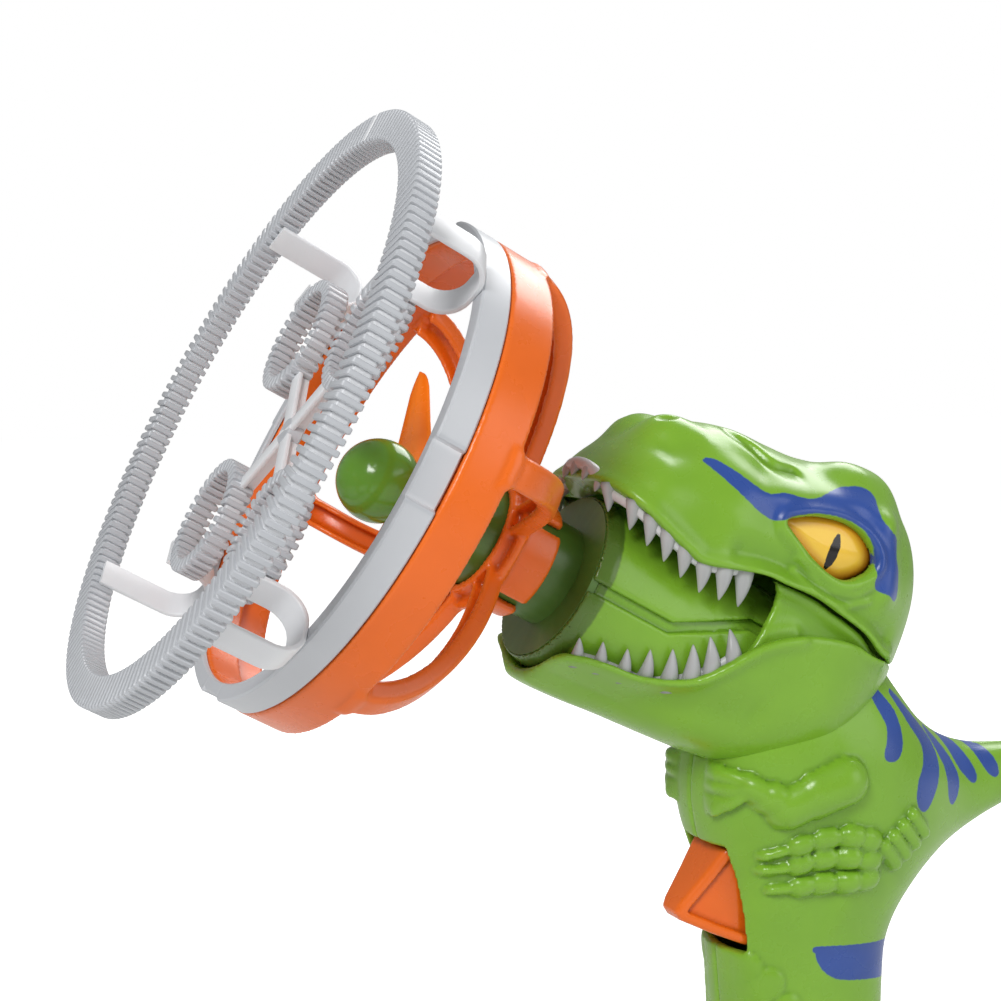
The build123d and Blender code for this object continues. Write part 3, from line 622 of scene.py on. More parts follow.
def blade(turn):
    """A tapered, twisted blade with a rounded tip and a thin rounded edge."""
    loops = []
    outline = rounded(1.0, 1.0, 0.5, 5)
    for share in (0.0, 0.1, 0.25, 0.4, 0.55, 0.7, 0.82, 0.9, 0.95, 0.98, 0.996):
        radius = BLADE_ROOT + (blade_radius - 0.4 - BLADE_ROOT) * share
        chord = (CHORD - CHORD_LOSS * share) * math.sqrt(max(1 - max(share - 0.8, 0) ** 2 / 0.04, 0.02))
        thick = THICKNESS - THICKNESS_LOSS * share
        pitch = math.radians(PITCH - PITCH_LOSS * share)
        across = round_about(turn) * math.cos(pitch) + FORWARD * math.sin(pitch)
        normal = round_about(turn) * -math.sin(pitch) + FORWARD * math.cos(pitch)
        centre = on_barrel(fan_plane, radius, turn)
        bow = 0.5 * thick * (1 - (2 * outline[:, :1]) ** 2)
        loops.append(centre + across * outline[:, :1] * chord + normal * (outline[:, 1:] * thick + bow))
    return skin(loops)


hub_back, hub_front = fan_plane - 3.5, fan_plane + 3.5
hub = lathe([(1.05, hub_back), (7.3, hub_back), (8.0, hub_back + 0.7), (8.0, hub_front - 0.3),
             (7.7, hub_front - 0.02), (1.05, hub_front - 0.02)], 96)
piece("fan_blade_moulding", joined([blade(turn) for turn in BLADE_TURNS] + [hub]), "fan",
      bright_orange, ["fan_blades"], sharp=40)

ball_centre = ball_front - ball_radius
ball_inside = ball_radius - BALL_WALL
ball_profile = [(ball_inside, ball_back)]
ball_start = -math.asin(min(1, (ball_centre - ball_back) / ball_radius))
for radius, angles in ((ball_radius, np.linspace(ball_start, math.pi / 2, 28)),
                       (ball_inside, np.linspace(math.pi / 2, 0, 10))):
    for angle in angles:
        ball_profile.append((max(radius * math.cos(angle), 0.05), ball_centre + radius * math.sin(angle)))
piece("hub_ball_cap", lathe(ball_profile, 96), "fan", ball_green, ["fan_hub_ball"], sharp=50)

# ------------------------------------------------------------------ barrel
barrel_back, _, _, barrel_radius = extent("barrel_upper")
GROOVE_BEND = -25.0              # from here back the side groove climbs
GROOVE_HALF, GROOVE_CLIMB = 1.5, 11.0
BARREL_CELL, BARREL_WALL = 0.55, 2.0
BEVEL = 5.0                      # length of the bevel round the front, and of the painted shade band over it
LIP_HALF, LIP_START = 4.5, -2.2  # the lower half's lip behind the groove


def barrel(top):
    """Half of the barrel: a rounded front edge, a band round the front and a bent groove on each side."""
    corners = on_barrel(*np.meshgrid((barrel_back, 1), (barrel_radius + 1,), np.arange(0, 360, 15)))
    corners = corners.reshape(-1, 3)
    grid = Grid(corners.min(0), corners.max(0), BARREL_CELL)
    s, left, up = grid.barrel()
    radius = np.hypot(left, up)
    outer = barrel_radius - 0.25 * (1 / (1 + np.exp(np.clip((s + 4.2) * 6, -30, 30))))
    shell = smooth_max(radius - outer, s, 1.0)
    shell = smooth_max(shell, radius - outer + (s + BEVEL) * 0.3, 0.4)
    shell = smooth_max(shell, barrel_back + 2 - s, 0.5)
    groove = np.where(s > GROOVE_BEND, 0.0, np.minimum((GROOVE_BEND - s) * 0.5, GROOVE_CLIMB))
    inner = radius - barrel_radius + BARREL_WALL
    beyond = groove + GROOVE_HALF - up if top else up - groove + GROOVE_HALF
    half = np.maximum(smooth_max(shell, beyond, 0.7), -inner)
    if not top:
        lip = np.maximum(np.maximum(inner + 0.1, -inner - BARREL_WALL), np.abs(up - groove) - LIP_HALF)
        half = np.minimum(half, np.maximum(lip, s - LIP_START))
    return grid.mesh(half)


for name, top in (("barrel_upper", True), ("barrel_lower", False)):
    made = barrel(top)
    # painted shade on the front bevel: negative within BEVEL of the barrel's front end
    shade_ring_edge = -(made[0] - NOSE) @ FORWARD - BEVEL
    piece(name + "_moulding", made, "root", barrel_green, [name],
          paints={"front_ring_shade": shade_ring_edge})

# ------------------------------------------------------------------ head
HEAD_CELL = 0.7
HEAD = np.array([  # distance along the barrel, top, bottom (from the axis), half width
    (9, 22, -23, 17), (6, 30, -26, 21), (2, 38, -27.4, 24.5), (-3, 45.5, -28, 26.6), (-8, 49.6, -28.2, 27.6),
    (-17, 54.0, -27.8, 28.8), (-26, 56.6, -27, 29.6), (-35, 57.4, -26.4, 30.2), (-45, 58.6, -25.8, 31),
    (-56, 61.5, -25, 31.4), (-66, 63.4, -23.9, 31), (-74, 62.6, -22, 29.6), (-82, 59.5, -19, 26.5),
    (-89, 54, -14.5, 22), (-95, 46.5, -8, 16), (-99, 38, 2, 9)])
UPPER_LIP = smooth_line([(90, 204), (80, 203), (68, 200), (60, 192), (49, 181), (44, 177.5), (29, 174.5),
                         (22, 171.5), (14, 168), (6, 163), (-3, 157), (-12, 149), (-34, 141), (-60, 136)])
LOWER_LIP = smooth_line([(100, 160), (84, 157.5), (74, 155.5), (67, 153), (60, 150), (52, 148.5), (45, 148.8),
                         (38, 152), (31, 155.6), (25, 157.4), (17, 158), (8, 156.8), (0, 154.4), (-6, 151),
                         (-12, 148.6), (-34, 140.8), (-60, 136)])
EYE = closed_line([(20.6, 187.0), (17.1, 188.2), (11.5, 188.2), (3.4, 186.4), (-2.3, 183.0), (-5.4, 177.6),
                   (-3.8, 173.6), (3.4, 171.6), (9.1, 173.8), (15.5, 179.9)])
BROW_PAINT = closed_line([(41, 203), (38.3, 203.8), (34.5, 201.4), (26, 195), (20.4, 194.7), (12.5, 192.8),
                          (5.2, 194.3), (-0.5, 195.3), (-6.2, 194.8), (-9.5, 192), (-8.4, 187.2),
                          (-10.8, 183.5), (-13.6, 181), (-12.8, 176.4), (-14, 172), (-13.4, 165),
                          (-9, 167), (-4.8, 169.2),
                          (-5, 173.3), (-5.2, 178.9), (-2.3, 184.2), (3.4, 187.4), (11.5, 189.2), (17.9, 189),
                          (24.2, 187.9), (29.7, 191), (35.1, 196.6)], 5)
BROW_RIDGE = smooth_line([(38, 206), (31, 201), (24, 195.5), (15, 192.5), (5, 192), (-4, 190), (-9, 184),
                          (-11, 177), (-10, 168)])
FLAP = smooth_line([(30, 174.5), (16.7, 169.2), (7.9, 163.8), (0.6, 158.5), (-7.7, 153), (-14, 149)])
EYE_FOLDS = (smooth_line([(18, 178), (12.9, 172), (8, 169), (1.6, 167.6), (-4, 169.5)]),
             smooth_line([(19, 175), (12.9, 168.6), (4.8, 165.3), (-3, 165.6)]))
SNOUT_CREASE = smooth_line([(27, 210), (22.5, 205), (18.5, 200.5), (12, 198.5)])
MUZZLE_HOLLOW = smooth_line([(48, 207), (41, 206.5), (32, 203), (26, 199)])


def head_skin(s, left, up):
    """Distance to the head's plain outer form: rounded sections along the barrel axis."""
    rows = smooth_line(HEAD[::-1], 6)
    top, bottom, half = (np.interp(s, rows[:, 0], rows[:, k]) for k in (1, 2, 3))
    middle, height = (top + bottom) / 2, (top - bottom) / 2
    square = 2.5
    reach = (np.abs(left / half) ** square + np.abs((up - middle) / height) ** square) ** (1 / square)
    side = (reach - 1) * np.minimum(half, height) * 0.97
    ends = np.maximum(s - HEAD[0, 0], HEAD[-1, 0] - s)
    return smooth_max(side, ends, 7.0)


def bulge(distance, width):
    """1 on a line, fading to nothing over about twice the width."""
    return np.exp(-(distance / width) ** 2)


LINE_RELIEF = (  # line in the side view, height, width, distance off the line
    (BROW_RIDGE, 2.4, 4.5, 0), (FLAP, 1.5, 2.6, 0), (FLAP + (4.0, 6.0), -1.7, 3.5, 0),
    (EYE_FOLDS[0], 0.9, 1.1, 0), (EYE_FOLDS[1], 0.9, 1.1, 0), (SNOUT_CREASE, -1.3, 1.4, 0),
    (MUZZLE_HOLLOW, -2.2, 4.5, 0), (UPPER_LIP[:88], 1.3, 2.4, 1), (LOWER_LIP[:80], 1.2, 2.2, 1),
    (((88, 150), (60, 144), (30, 138)), -1.6, 6.0, 0))
SPOT_RELIEF = (  # x, z, stretch along each, height, width
    (34, 189, 1, 0.9, 2.0, 10.0), (54, 198, 1, 1, 1.2, 8.0), (-13, 186, 1, 1, 2.2, 4.5),
    (0, 137, 0.8, 1, 1.6, 15.0))
CREST_KNOBS = ((45, 8.5, 207.5, 6.0), (-6, 15, 193, 7.0), (-14, 11, 190, 6.5))      # x, y, z, radius
NOSTRIL, NOSTRIL_RADIUS, NOSTRIL_STRETCH = (45.5, 10.5, 215.2), 2.2, 1.7


def head_relief(x, z):
    """How far the head's sides stand out beyond the plain form, by place in the side view."""
    raised = 1.7 * bulge(region_distance(x, z, EYE) - 1.5, 1.7)
    for line, height, width, off in LINE_RELIEF:
        raised += height * bulge(line_distance(x, z, line) - off, width)
    for at_x, at_z, wide, high, height, width in SPOT_RELIEF:
        raised += height * bulge(np.hypot((x - at_x) * wide, (z - at_z) * high), width)
    return raised


def from_spots(grid, x, y, z, stretch=1.0):
    """Distance to a spot on both sides of the head; the stretch draws it out along X."""
    return np.sqrt(((grid.x - x) / stretch) ** 2 + (np.abs(grid.y) - y) ** 2 + (grid.z - z) ** 2)


def head_form(grid):
    """The sculpted head before it is opened: relief on the sides, crest bumps and nostrils."""
    s, left, up = grid.barrel()
    form = head_skin(s, left, up)
    relief = head_relief(grid.x[:, 0, :], grid.z[:, 0, :])[:, None, :]
    sideways = np.clip((np.abs(grid.y) - 6) / 8, 0, 1)
    form = form - relief * sideways
    for x, y, z, radius in CREST_KNOBS:
        form = smooth_min(form, from_spots(grid, x, y, z) - radius, 7.0)
    return smooth_max(form, NOSTRIL_RADIUS - from_spots(grid, *NOSTRIL, NOSTRIL_STRETCH), 0.8)


jaw_low, jaw_high = box_mm("lower_jaw")
head_grid = Grid(jaw_low - 5, np.maximum(box_mm("skull")[1], jaw_high) + (6, 5, 5), HEAD_CELL)
head_grid.centre()
head = head_form(head_grid)
head_s, head_left, head_up = head_grid.barrel()
FAR = 400.0                      # a height well above the toy


def above(line):
    """Signed distance to a line in the side view, negative above it, as a sheet across the grid."""
    return head_grid.sheet(np.concatenate([line, [(line[-1][0] - 40, FAR), (line[0][0] + 40, FAR)]]))


HEAD_WALL, SNOUT_SOLID = 3.2, -3.0           # the snout is solid ahead of this distance
EYE_PIT = 20.0                               # the eyes are let in down to this half width
JAW_FRONT = -1.5
CHEEK_EDGE = smooth_line([(27, 180), (22.5, 170), (22.5, 165), (28, 157), (34, 148)])
CHEEK_DEPTH, CHEEK_SKIN, CHEEK_REACH = 4.5, 2.2, 6.0     # the cheek web joins the jaws below the surface
barrel_clear = np.hypot(head_left, head_up) - barrel_radius - 0.25
barrel_clear = np.maximum(barrel_clear, barrel_back - head_s)
hollow = np.minimum(-(head + HEAD_WALL), SNOUT_SOLID - head_s)
walls = smooth_max(head, hollow, 1.0)
skull_side, jaw_side = above(UPPER_LIP), -above(LOWER_LIP)
skull_solid = smooth_max(walls, skull_side, 1.6)
eye_pit = np.maximum(head_grid.sheet(EYE), EYE_PIT - np.abs(head_grid.y))
skull_solid = smooth_max(skull_solid, -eye_pit, 0.9)
skull_solid = smooth_max(skull_solid, -barrel_clear, 0.6)
jaw_solid = smooth_max(walls, jaw_side, 1.6)
cheek = np.maximum(head + CHEEK_DEPTH, -(head + CHEEK_DEPTH + CHEEK_SKIN))
cheek = np.maximum(cheek, -skull_side)
cheek = np.maximum(cheek, head_grid.sheet(np.concatenate([CHEEK_EDGE, [(-60, 120), (-60, 200)]])))
cheek = np.maximum(cheek, np.maximum(-skull_side, -jaw_side) - CHEEK_REACH)
jaw_solid = smooth_min(jaw_solid, cheek, 2.0)
jaw_solid = smooth_max(jaw_solid, -barrel_clear, 0.6)
jaw_solid = smooth_max(jaw_solid, head_s - JAW_FRONT, 2.5)
jaw_solid = np.maximum(jaw_solid, 0.25 - skull_solid)


def painted(points, outlines):
    """Least distance from points to the painted outlines, in the side view."""
    x, z = points[:, 0], points[:, 2]
    return np.min([region_distance(x, z, outline) for outline in outlines], 0)


PAINT_START, OFF_PAINT = 9.0, 20.0       # the brow's paint keeps to the sides, beyond this half width
made = head_grid.mesh(skull_solid)
on_side = np.where(np.abs(made[0][:, 1]) > PAINT_START, 0, OFF_PAINT)
piece("skull_moulding", made, "root", green, ["skull"],
      paints={"blue_paint": painted(made[0], [BROW_PAINT]) + on_side})
piece("jaw_moulding", head_grid.mesh(jaw_solid), "root", plain_green, ["lower_jaw"])


def side_of(x, z):
    """Half width of the sculpted head at (x, z) in the side view."""
    i = int(round((x - head_grid.low[0]) / HEAD_CELL))
    k = int(round((z - head_grid.low[2]) / HEAD_CELL))
    i, k = min(i, head.shape[0] - 1), min(k, head.shape[2] - 1)
    inside = np.flatnonzero(head[i, :, k] < 0)
    return float(head_grid.y[0, inside[-1], 0]) if len(inside) else 0.0


# ------------------------------------------------------------------ teeth
def one_tooth(base, tip, radius, outwards):
    """A curved, slightly flattened cone with a swollen root."""
    base, tip, outwards = (np.asarray(v, float) for v in (base, tip, outwards))
    along = tip - base
    length = np.linalg.norm(along)
    along /= length
    wide = np.cross(along, outwards)
    wide /= np.linalg.norm(wide)
    deep = np.cross(wide, along)
    loops = []
    for share in (-0.12, 0.0, 0.15, 0.3, 0.45, 0.6, 0.72, 0.83, 0.91, 0.96, 0.99):
        size = radius * max(1 - max(share, 0) ** 1.35, 0.0) ** 0.82 + 0.06
        bow = 0.08 * length * math.sin(math.pi * max(share, 0))
        angles = np.linspace(0, 2 * math.pi, 14, endpoint=False)
        ripple = 1 + 0.035 * np.cos(5 * angles)
        centre = base + along * length * share + deep * bow
        loops.append(centre + (np.outer(np.cos(angles) * ripple, wide) * size
                               + np.outer(np.sin(angles) * ripple, deep) * size * 0.78))
    return skin(loops)


UPPER_ROOTS = ((64.4, 195.6, 4.8), (60.8, 191.8, 5.4), (57.0, 188.0, 5.6), (53.0, 184.2, 5.8),
               (48.6, 180.4, 6.2), (43.6, 177.0, 6.8), (38.2, 175.6, 7.6), (32.0, 174.8, 9.0))
LOWER_ROOTS = ((75.5, 155.8, 4.6), (69.5, 153.9, 5.2), (63.0, 151.2, 5.8), (57.0, 149.3, 7.2),
               (51.0, 148.3, 8.0), (45.4, 148.8, 8.4), (40.4, 150.6, 8.2), (34.8, 153.6, 6.8))


def barrel_half(x, z):
    """Half width of the barrel where the side view's (x, z) lies on it, or nothing."""
    height = (x - NOSE[0]) * UP[0] + (z - NOSE[2]) * UP[2]
    return math.sqrt(max(barrel_radius ** 2 - height ** 2, 0))


def tooth_row(roots, way, lean):
    """Teeth on both sides along (x, z, length) roots, and the gum that joins them."""
    parts, gum = [], []
    for x, z, length in roots:
        radius = 1.3 + 0.17 * length
        half = max(min(side_of(x, z), side_of(x, z - way * 2.5)) - 0.8 * radius - 0.9, 6.0)
        gum.append((x, half - 0.4, z - way * 0.4))
        tip_x, tip_z = x + lean * length, z + way * length
        tip_half = max(half - 1.5, barrel_half(tip_x, tip_z) + 1.3)
        for side in (-1, 1):
            base, tip = (x, side * half, z - way * 1.8), (tip_x, side * tip_half, tip_z)
            parts.append(one_tooth(base, tip, radius, (0.0, side, 0.15)))
    line = smooth_line(gum, 5)
    for side in (-1, 1):
        parts.append(swept(line * (1, side, 1), rounded(2.6, 2.4, 1.1, 3), (0, 0, 1)))
    return parts


SNOUT_HALF, SNOUT_START, SNOUT_LENGTH = 16.5, -5.0, 12.0     # plan of the front teeth: half an ellipse
FRONT_TEETH, FRONT_REACH = 7, 62                 # their number, and the angle they reach to each side
FRONT_ROOT, FRONT_TIP = (4.8, 0.0), (0.9, 0.6)   # height over the barrel, lean


def front_row():
    """Front teeth round the snout's tip, just over the barrel, and the gum that joins them."""
    parts, gum = [], []
    for angle in np.radians(np.linspace(-FRONT_REACH, FRONT_REACH, FRONT_TEETH)):
        left, ahead = SNOUT_HALF * math.sin(angle), SNOUT_START + SNOUT_LENGTH * math.cos(angle)
        over = math.sqrt(barrel_radius ** 2 - left ** 2)
        root, tip = (NOSE + FORWARD * (ahead + lean) + LEFT * left + UP * (over + rise)
                     for rise, lean in (FRONT_ROOT, FRONT_TIP))
        parts.append(one_tooth(root, tip, 2.0, FORWARD))
        gum.append(root)
    return parts + [swept(smooth_line(gum, 4), rounded(3.2, 3.4, 1.4, 3), UP)]


for name, parts in (("upper", tooth_row(UPPER_ROOTS, -1, 0.12) + front_row()),
                    ("lower", tooth_row(LOWER_ROOTS, 1, 0.05))):
    piece(name + "_teeth", joined(parts), "root", tooth, ["teeth_" + name], sharp=60)

# ------------------------------------------------------------------ eyes
EYE_CENTRE, EYE_REACH = np.array((7.8, 180.0)), 1.14     # the dome runs on behind the lids by the reach
EYE_SUNK, EYE_DOME = 4.0, 3.4     # depth of the dome's edge below the face, and the dome's height
EYE_RIM = 1.6                     # width of the orange edge inside the lids
PUPIL = closed_line([(3.7, 184.0), (6.2, 181.9), (8.3, 177.6), (8.3, 174.2), (5.6, 176.6), (3.8, 180.9)])


def eye(side):
    """A shallow dome behind the lids, rounded all the way to the lids' edge."""
    loops = []
    face = side_of(*np.round(EYE_CENTRE))
    for share in (1.0, 0.96, 0.88, 0.76, 0.62, 0.48, 0.34, 0.2, 0.1, 0.02):
        x, z = (EYE_CENTRE + (EYE - EYE_CENTRE) * EYE_REACH * share).T
        y = side * (face - EYE_SUNK + EYE_DOME * math.sqrt(max(1 - share ** 2, 0)))
        loops.append(np.stack([x, np.full_like(x, y), z], -1))
    loops.insert(0, loops[0] - (0, side * 2.0, 0))
    return skin([loop[::-side] for loop in loops])


for side, name in ((1, "eye_left"), (-1, "eye_right")):
    made = eye(side)
    flat = made[0][:, 0], made[0][:, 2]
    piece(name + "_dome", made, "root", eye_paint, [name],
          paints={"eye_rim": -region_distance(*flat, EYE) - EYE_RIM, "pupil": region_distance(*flat, PUPIL)})

# ------------------------------------------------------------------ body: handle, torso, tail and relief
BODY_CELL, BODY_WALL, FLOOR_WALL = 0.75, 2.2, 3.0
SEAM_DEPTH, SEAM_WIDTH = 0.35, 0.55
TORSO = np.array([  # height, back, front, half width
    (0, -25, 25, 18), (5, -23.8, 23.8, 17.4), (20, -23.4, 23.4, 17), (46, -24, 24, 17), (60, -24.6, 25, 17),
    (70, -25.4, 25.8, 17.6), (80, -27, 26.4, 18.8), (90, -30, 28, 20.6), (98, -34, 30.5, 22.4),
    (106, -36, 32.5, 24.4), (114, -36, 33.2, 25.8), (122, -33, 32.4, 26.2), (132, -28, 30.6, 25.4),
    (140, -24, 28, 23.4), (148, -20, 24, 20)])
TAIL = np.array([  # place along X, height of the middle, half height, half width
    (-8, 106, 27, 21), (-22, 107, 26, 19.5), (-34, 106.5, 21, 16.5), (-46, 106.6, 15.5, 13),
    (-58, 107.4, 11, 10), (-70, 109, 8.3, 7.8), (-84, 111.4, 5.2, 5.2), (-94, 114, 3.6, 3.6),
    (-101, 116, 2.0, 2.0)])
STRIPES = [closed_line(points, 5) for points in (
    [(-8.5, 143), (-14.4, 137.1), (-17, 133.2), (-17.8, 127.5), (-16.3, 123.3), (-13.4, 122.4), (-12, 123.7),
     (-13.4, 127.3), (-13.7, 131.6), (-11, 137)],
    [(-18, 139), (-25.8, 131.4), (-31, 126), (-33.3, 120.8), (-32.9, 115.7), (-29.6, 109.8), (-26.3, 106.9),
     (-23.7, 109.7), (-24, 114.7), (-26.6, 118.9), (-27.3, 124.5), (-23, 131)],
    [(-33, 127), (-38.9, 121), (-42.4, 115.1), (-43.6, 111.1), (-42.4, 107.4), (-40.5, 106), (-39, 108.4),
     (-38.6, 112.9), (-37.4, 118.1)],
    [(-42, 124), (-47, 121.5), (-49.8, 116.6), (-52, 111.8), (-51.4, 110), (-48.1, 112.5), (-44.6, 117)],
    [(-54, 121), (-58, 119), (-61, 114), (-61, 110.5), (-58.5, 111.5), (-56, 115.5)],
    [(-30, 66.2), (1.7, 70.5), (3.5, 69.8), (3.1, 67.5), (0.3, 64), (-4.1, 61.8), (-13.9, 60.2),
     (-30, 57.8)])]
STRIPE_GROWTH = 0.8              # the painted stripes spread this far past their outlines


def torso_skin(x, y, z):
    """Distance to the handle and torso, from level sections."""
    rows = smooth_line(TORSO, 6)
    back, front, half = (np.interp(z, rows[:, 0], rows[:, k]) for k in (1, 2, 3))
    middle, length = (back + front) / 2, (front - back) / 2
    reach = (np.abs((x - middle) / length) ** 2.6 + np.abs(y / half) ** 2.6) ** (1 / 2.6)
    side = (reach - 1) * np.minimum(length, half)
    return smooth_max(side, np.maximum(-z, z - TORSO[-1, 0]), 2.5)


def tail_skin(x, y, z):
    """Distance to the tail, from upright sections."""
    rows = smooth_line(TAIL[::-1], 6)
    middle, height, half = (np.interp(x, rows[:, 0], rows[:, k]) for k in (1, 2, 3))
    reach = (np.abs((z - middle) / height) ** 2.2 + np.abs(y / half) ** 2.2) ** (1 / 2.2)
    side = (reach - 1) * np.minimum(height, half)
    return smooth_max(side, np.maximum(x - TAIL[0, 0], TAIL[-1, 0] - x), 3.0)


def pad(x, z, start, end, radius, rise):
    """A rounded pad along a short line in the side view: its height above the surface."""
    share = line_distance(x, z, [start, end]) / radius
    return rise * np.sqrt(np.clip(1 - share ** 2, 0, 1))


def chain(points, radii):
    """Short lines between neighbouring points, with their radii."""
    return [(a, b, radius) for a, b, radius in zip(points, points[1:], radii)]


ARM_PADS = (chain([(1.5, 118), (9, 115), (17, 111.6)], [6.6, 5.8])
            + chain([(17, 111.8), (21.5, 114.6), (27, 117.6)], [4.6, 3.6])
            + chain([(27, 118.4), (32, 120.2), (37, 120.4), (40.5, 119.2)], [2.5, 2.0, 1.2])
            + chain([(28, 117), (31, 116.8), (35.5, 116.8), (38.5, 115.4)], [2.6, 2.0, 1.2])
            + chain([(28, 116), (31.3, 112.6), (34, 109.2)], [2.6, 2.2]))
TOES = (((-9.4, 99.8), (-4.7, 102.2), (1.7, 102.8), (9.1, 101.8), (15.3, 100.1), (21.5, 98.4)),
        ((-10.8, 94.6), (-4.4, 96.3), (2.0, 96.8), (8.4, 96.4), (14.6, 94.8), (21.2, 94.2)),
        ((-10.8, 90.0), (-5.1, 89.6), (1.3, 89.6), (7.7, 89.4), (13.2, 89.0), (18.6, 88.6)))
TOE_RADII, CLAW_RISE, TOE_RISE, TOE_GAP = (3.3, 3.4, 3.3, 3.0, 1.5), 1.9, 2.6, 0.32
SOLE = ((-24.5, 102.6), (-21.4, 100), (-18.3, 97.4), (-15.2, 95.2))
SCALES = ((24, 66, 5.4), (17.5, 62, 4.6), (20, 52, 6.0), (12.5, 55, 4.2), (24, 56, 4.8), (15, 46, 4.4),
          (22, 43, 4.4))


def body_relief(x, z):
    """How far the arm, foot and scales stand out from the body's sides."""
    raised = np.zeros(np.broadcast(x, z).shape)
    for start, end, radius in ARM_PADS:
        raised = np.maximum(raised, pad(x, z, start, end, radius, 0.62 * radius + 0.6))
    for toe in np.array(TOES):
        for k, (start, end) in enumerate(zip(toe, toe[1:])):
            claw = k == len(TOE_RADII) - 1
            middle, share = (start + end) / 2, 0.6 - (0 if claw else TOE_GAP)
            first = middle + (start - middle) * share
            last = end if claw else middle + (end - middle) * share
            height = pad(x, z, first, last, TOE_RADII[k], CLAW_RISE if claw else TOE_RISE)
            raised = np.maximum(raised, height)
    for at_x, at_z in SOLE:
        across = pad(x, z, (at_x - 1.5, at_z - 2.0), (at_x + 3.4, at_z + 3.6), 2.3, 2.7)
        raised = np.maximum(raised, across)
    for at_x, at_z, radius in SCALES:
        scale = pad(x, z, (at_x, at_z), (at_x + 2.5, at_z - 2.0), radius, 1.1)
        raised = np.maximum(raised, scale)
    return raised


body_low, body_high = box_mm("body_left")
body_low = np.minimum(body_low, box_mm("body_right")[0])
body_grid = Grid((body_low[0] - 3, body_low[1] - 7, body_low[2] - 1.5),
                 (body_high[0] + 5, body_high[1] + 7, TORSO[-1, 0] + 2), BODY_CELL)
body_grid.centre()
bx, by, bz = body_grid.x, body_grid.y, body_grid.z
body = smooth_min(torso_skin(bx, by, bz), tail_skin(bx, by, bz), 14.0)
body_inner = body + BODY_WALL
relief = body_relief(bx[:, 0, :], bz[:, 0, :])[:, None, :]
body = body - relief * np.clip((np.abs(by) - 7) / 6, 0, 1)
body = body + SEAM_DEPTH * bulge(by, SEAM_WIDTH)
shell = smooth_max(body, -np.maximum(body_inner, FLOOR_WALL - bz), 0.4)


def box_distance(low, high):
    """Distance to a box, negative inside."""
    parts = [np.maximum(l - v, v - h) for v, l, h in zip((bx, by, bz), low, high)]
    return np.maximum(np.maximum(parts[0], parts[1]), parts[2])


def rod_distance(x, z, radius, start, end):
    """Distance to a round rod across the toy."""
    return np.maximum(np.hypot(bx - x, bz - z) - radius, np.maximum(start - by, by - end))


TRIGGER_HALF, GAP = 10.7, 0.3
SLOT_LOW, SLOT_HIGH = (2.0, -TRIGGER_HALF - GAP, 70.2), (70.0, TRIGGER_HALF + GAP, 99.6)
SCREWS, DOOR_SCREW = ((-14.0, 64.5), (-14.0, 108.0), (20.0, 106.0), (-42.0, 104.0)), (0.0, 51.0)
HEAD_RADIUS, BOSS_RADIUS, PILOT_RADIUS = 2.9, 4.2, 1.4
SCREW_SEAT, PILOT_END, DOOR_SEAT = -9.0, 8.0, -15.6
OUTSIDE = -60.0                  # a place beyond the toy's right side
RIDGE_START, RIDGE_PITCH, RIDGE_COUNT = 12.0, 2.6, 6     # finger grooves across the battery door
RIDGE_HALF, RIDGE_REACH, RIDGE_DEPTH = 0.5, 8.0, 0.8
door_low, door_high = box_mm("battery_door")
slot_box = box_distance(SLOT_LOW, SLOT_HIGH)
for x, z in SCREWS:
    boss = np.maximum(rod_distance(x, z, BOSS_RADIUS, OUTSIDE, 0), body + 0.4)
    shell = np.minimum(shell, boss)
shell = smooth_max(shell, -slot_box, 1.0)
for x, z in SCREWS:
    shell = smooth_max(shell, -rod_distance(x, z, HEAD_RADIUS, OUTSIDE, SCREW_SEAT), 0.4)
    shell = np.maximum(shell, -rod_distance(x, z, PILOT_RADIUS, SCREW_SEAT - 1, PILOT_END))
door_frame = box_distance((door_low[0], OUTSIDE, door_low[2]), door_high)
shell = smooth_max(shell, GAP - door_frame, 0.5)
door_solid = smooth_max(smooth_max(body, -body_inner, 0.4), door_frame, 0.5)
door_solid = smooth_max(door_solid, -rod_distance(*DOOR_SCREW, HEAD_RADIUS, OUTSIDE, DOOR_SEAT), 0.3)
for row in range(RIDGE_COUNT):
    ridge = np.abs(bz - RIDGE_START - RIDGE_PITCH * row) - RIDGE_HALF
    ridge = np.maximum(np.maximum(ridge, np.abs(bx) - RIDGE_REACH), -(body + RIDGE_DEPTH))
    door_solid = smooth_max(door_solid, -ridge, 0.4)
under_head = head_skin(*body_grid.barrel()) + 0.6
halves = [(name, "root", np.maximum(np.maximum(shell, 0.05 - side * by), -under_head))
          for side, name in ((1, "body_left"), (-1, "body_right"))]
for name, rides, solid in halves + [("battery_door", "door", door_solid)]:
    made = body_grid.mesh(solid)
    piece(name + "_moulding", made, rides, green, [name],
          paints={"blue_paint": painted(made[0], STRIPES) - STRIPE_GROWTH})

# ------------------------------------------------------------------ trigger
TRIGGER = [(27.0, 98.4), (32.6, 91.0), (38.6, 83.6), (39.6, 81.2), (38.0, 79.0), (30.0, 75.2), (21.5, 71.8),
           (10.2, 72.0), (10.2, 98.4)]
TRIGGER_BOX, TRIGGER_CELL = ((8, -12.2, 69), (42, 12.2, 101)), 0.5
TAPER, TAPER_START = 0.36, 23.0          # the trigger narrows towards the finger
BORDER, PANEL_DEPTH = 2.8, 1.8
PIN, PIN_RADIUS = (16.0, 93.0), 1.5


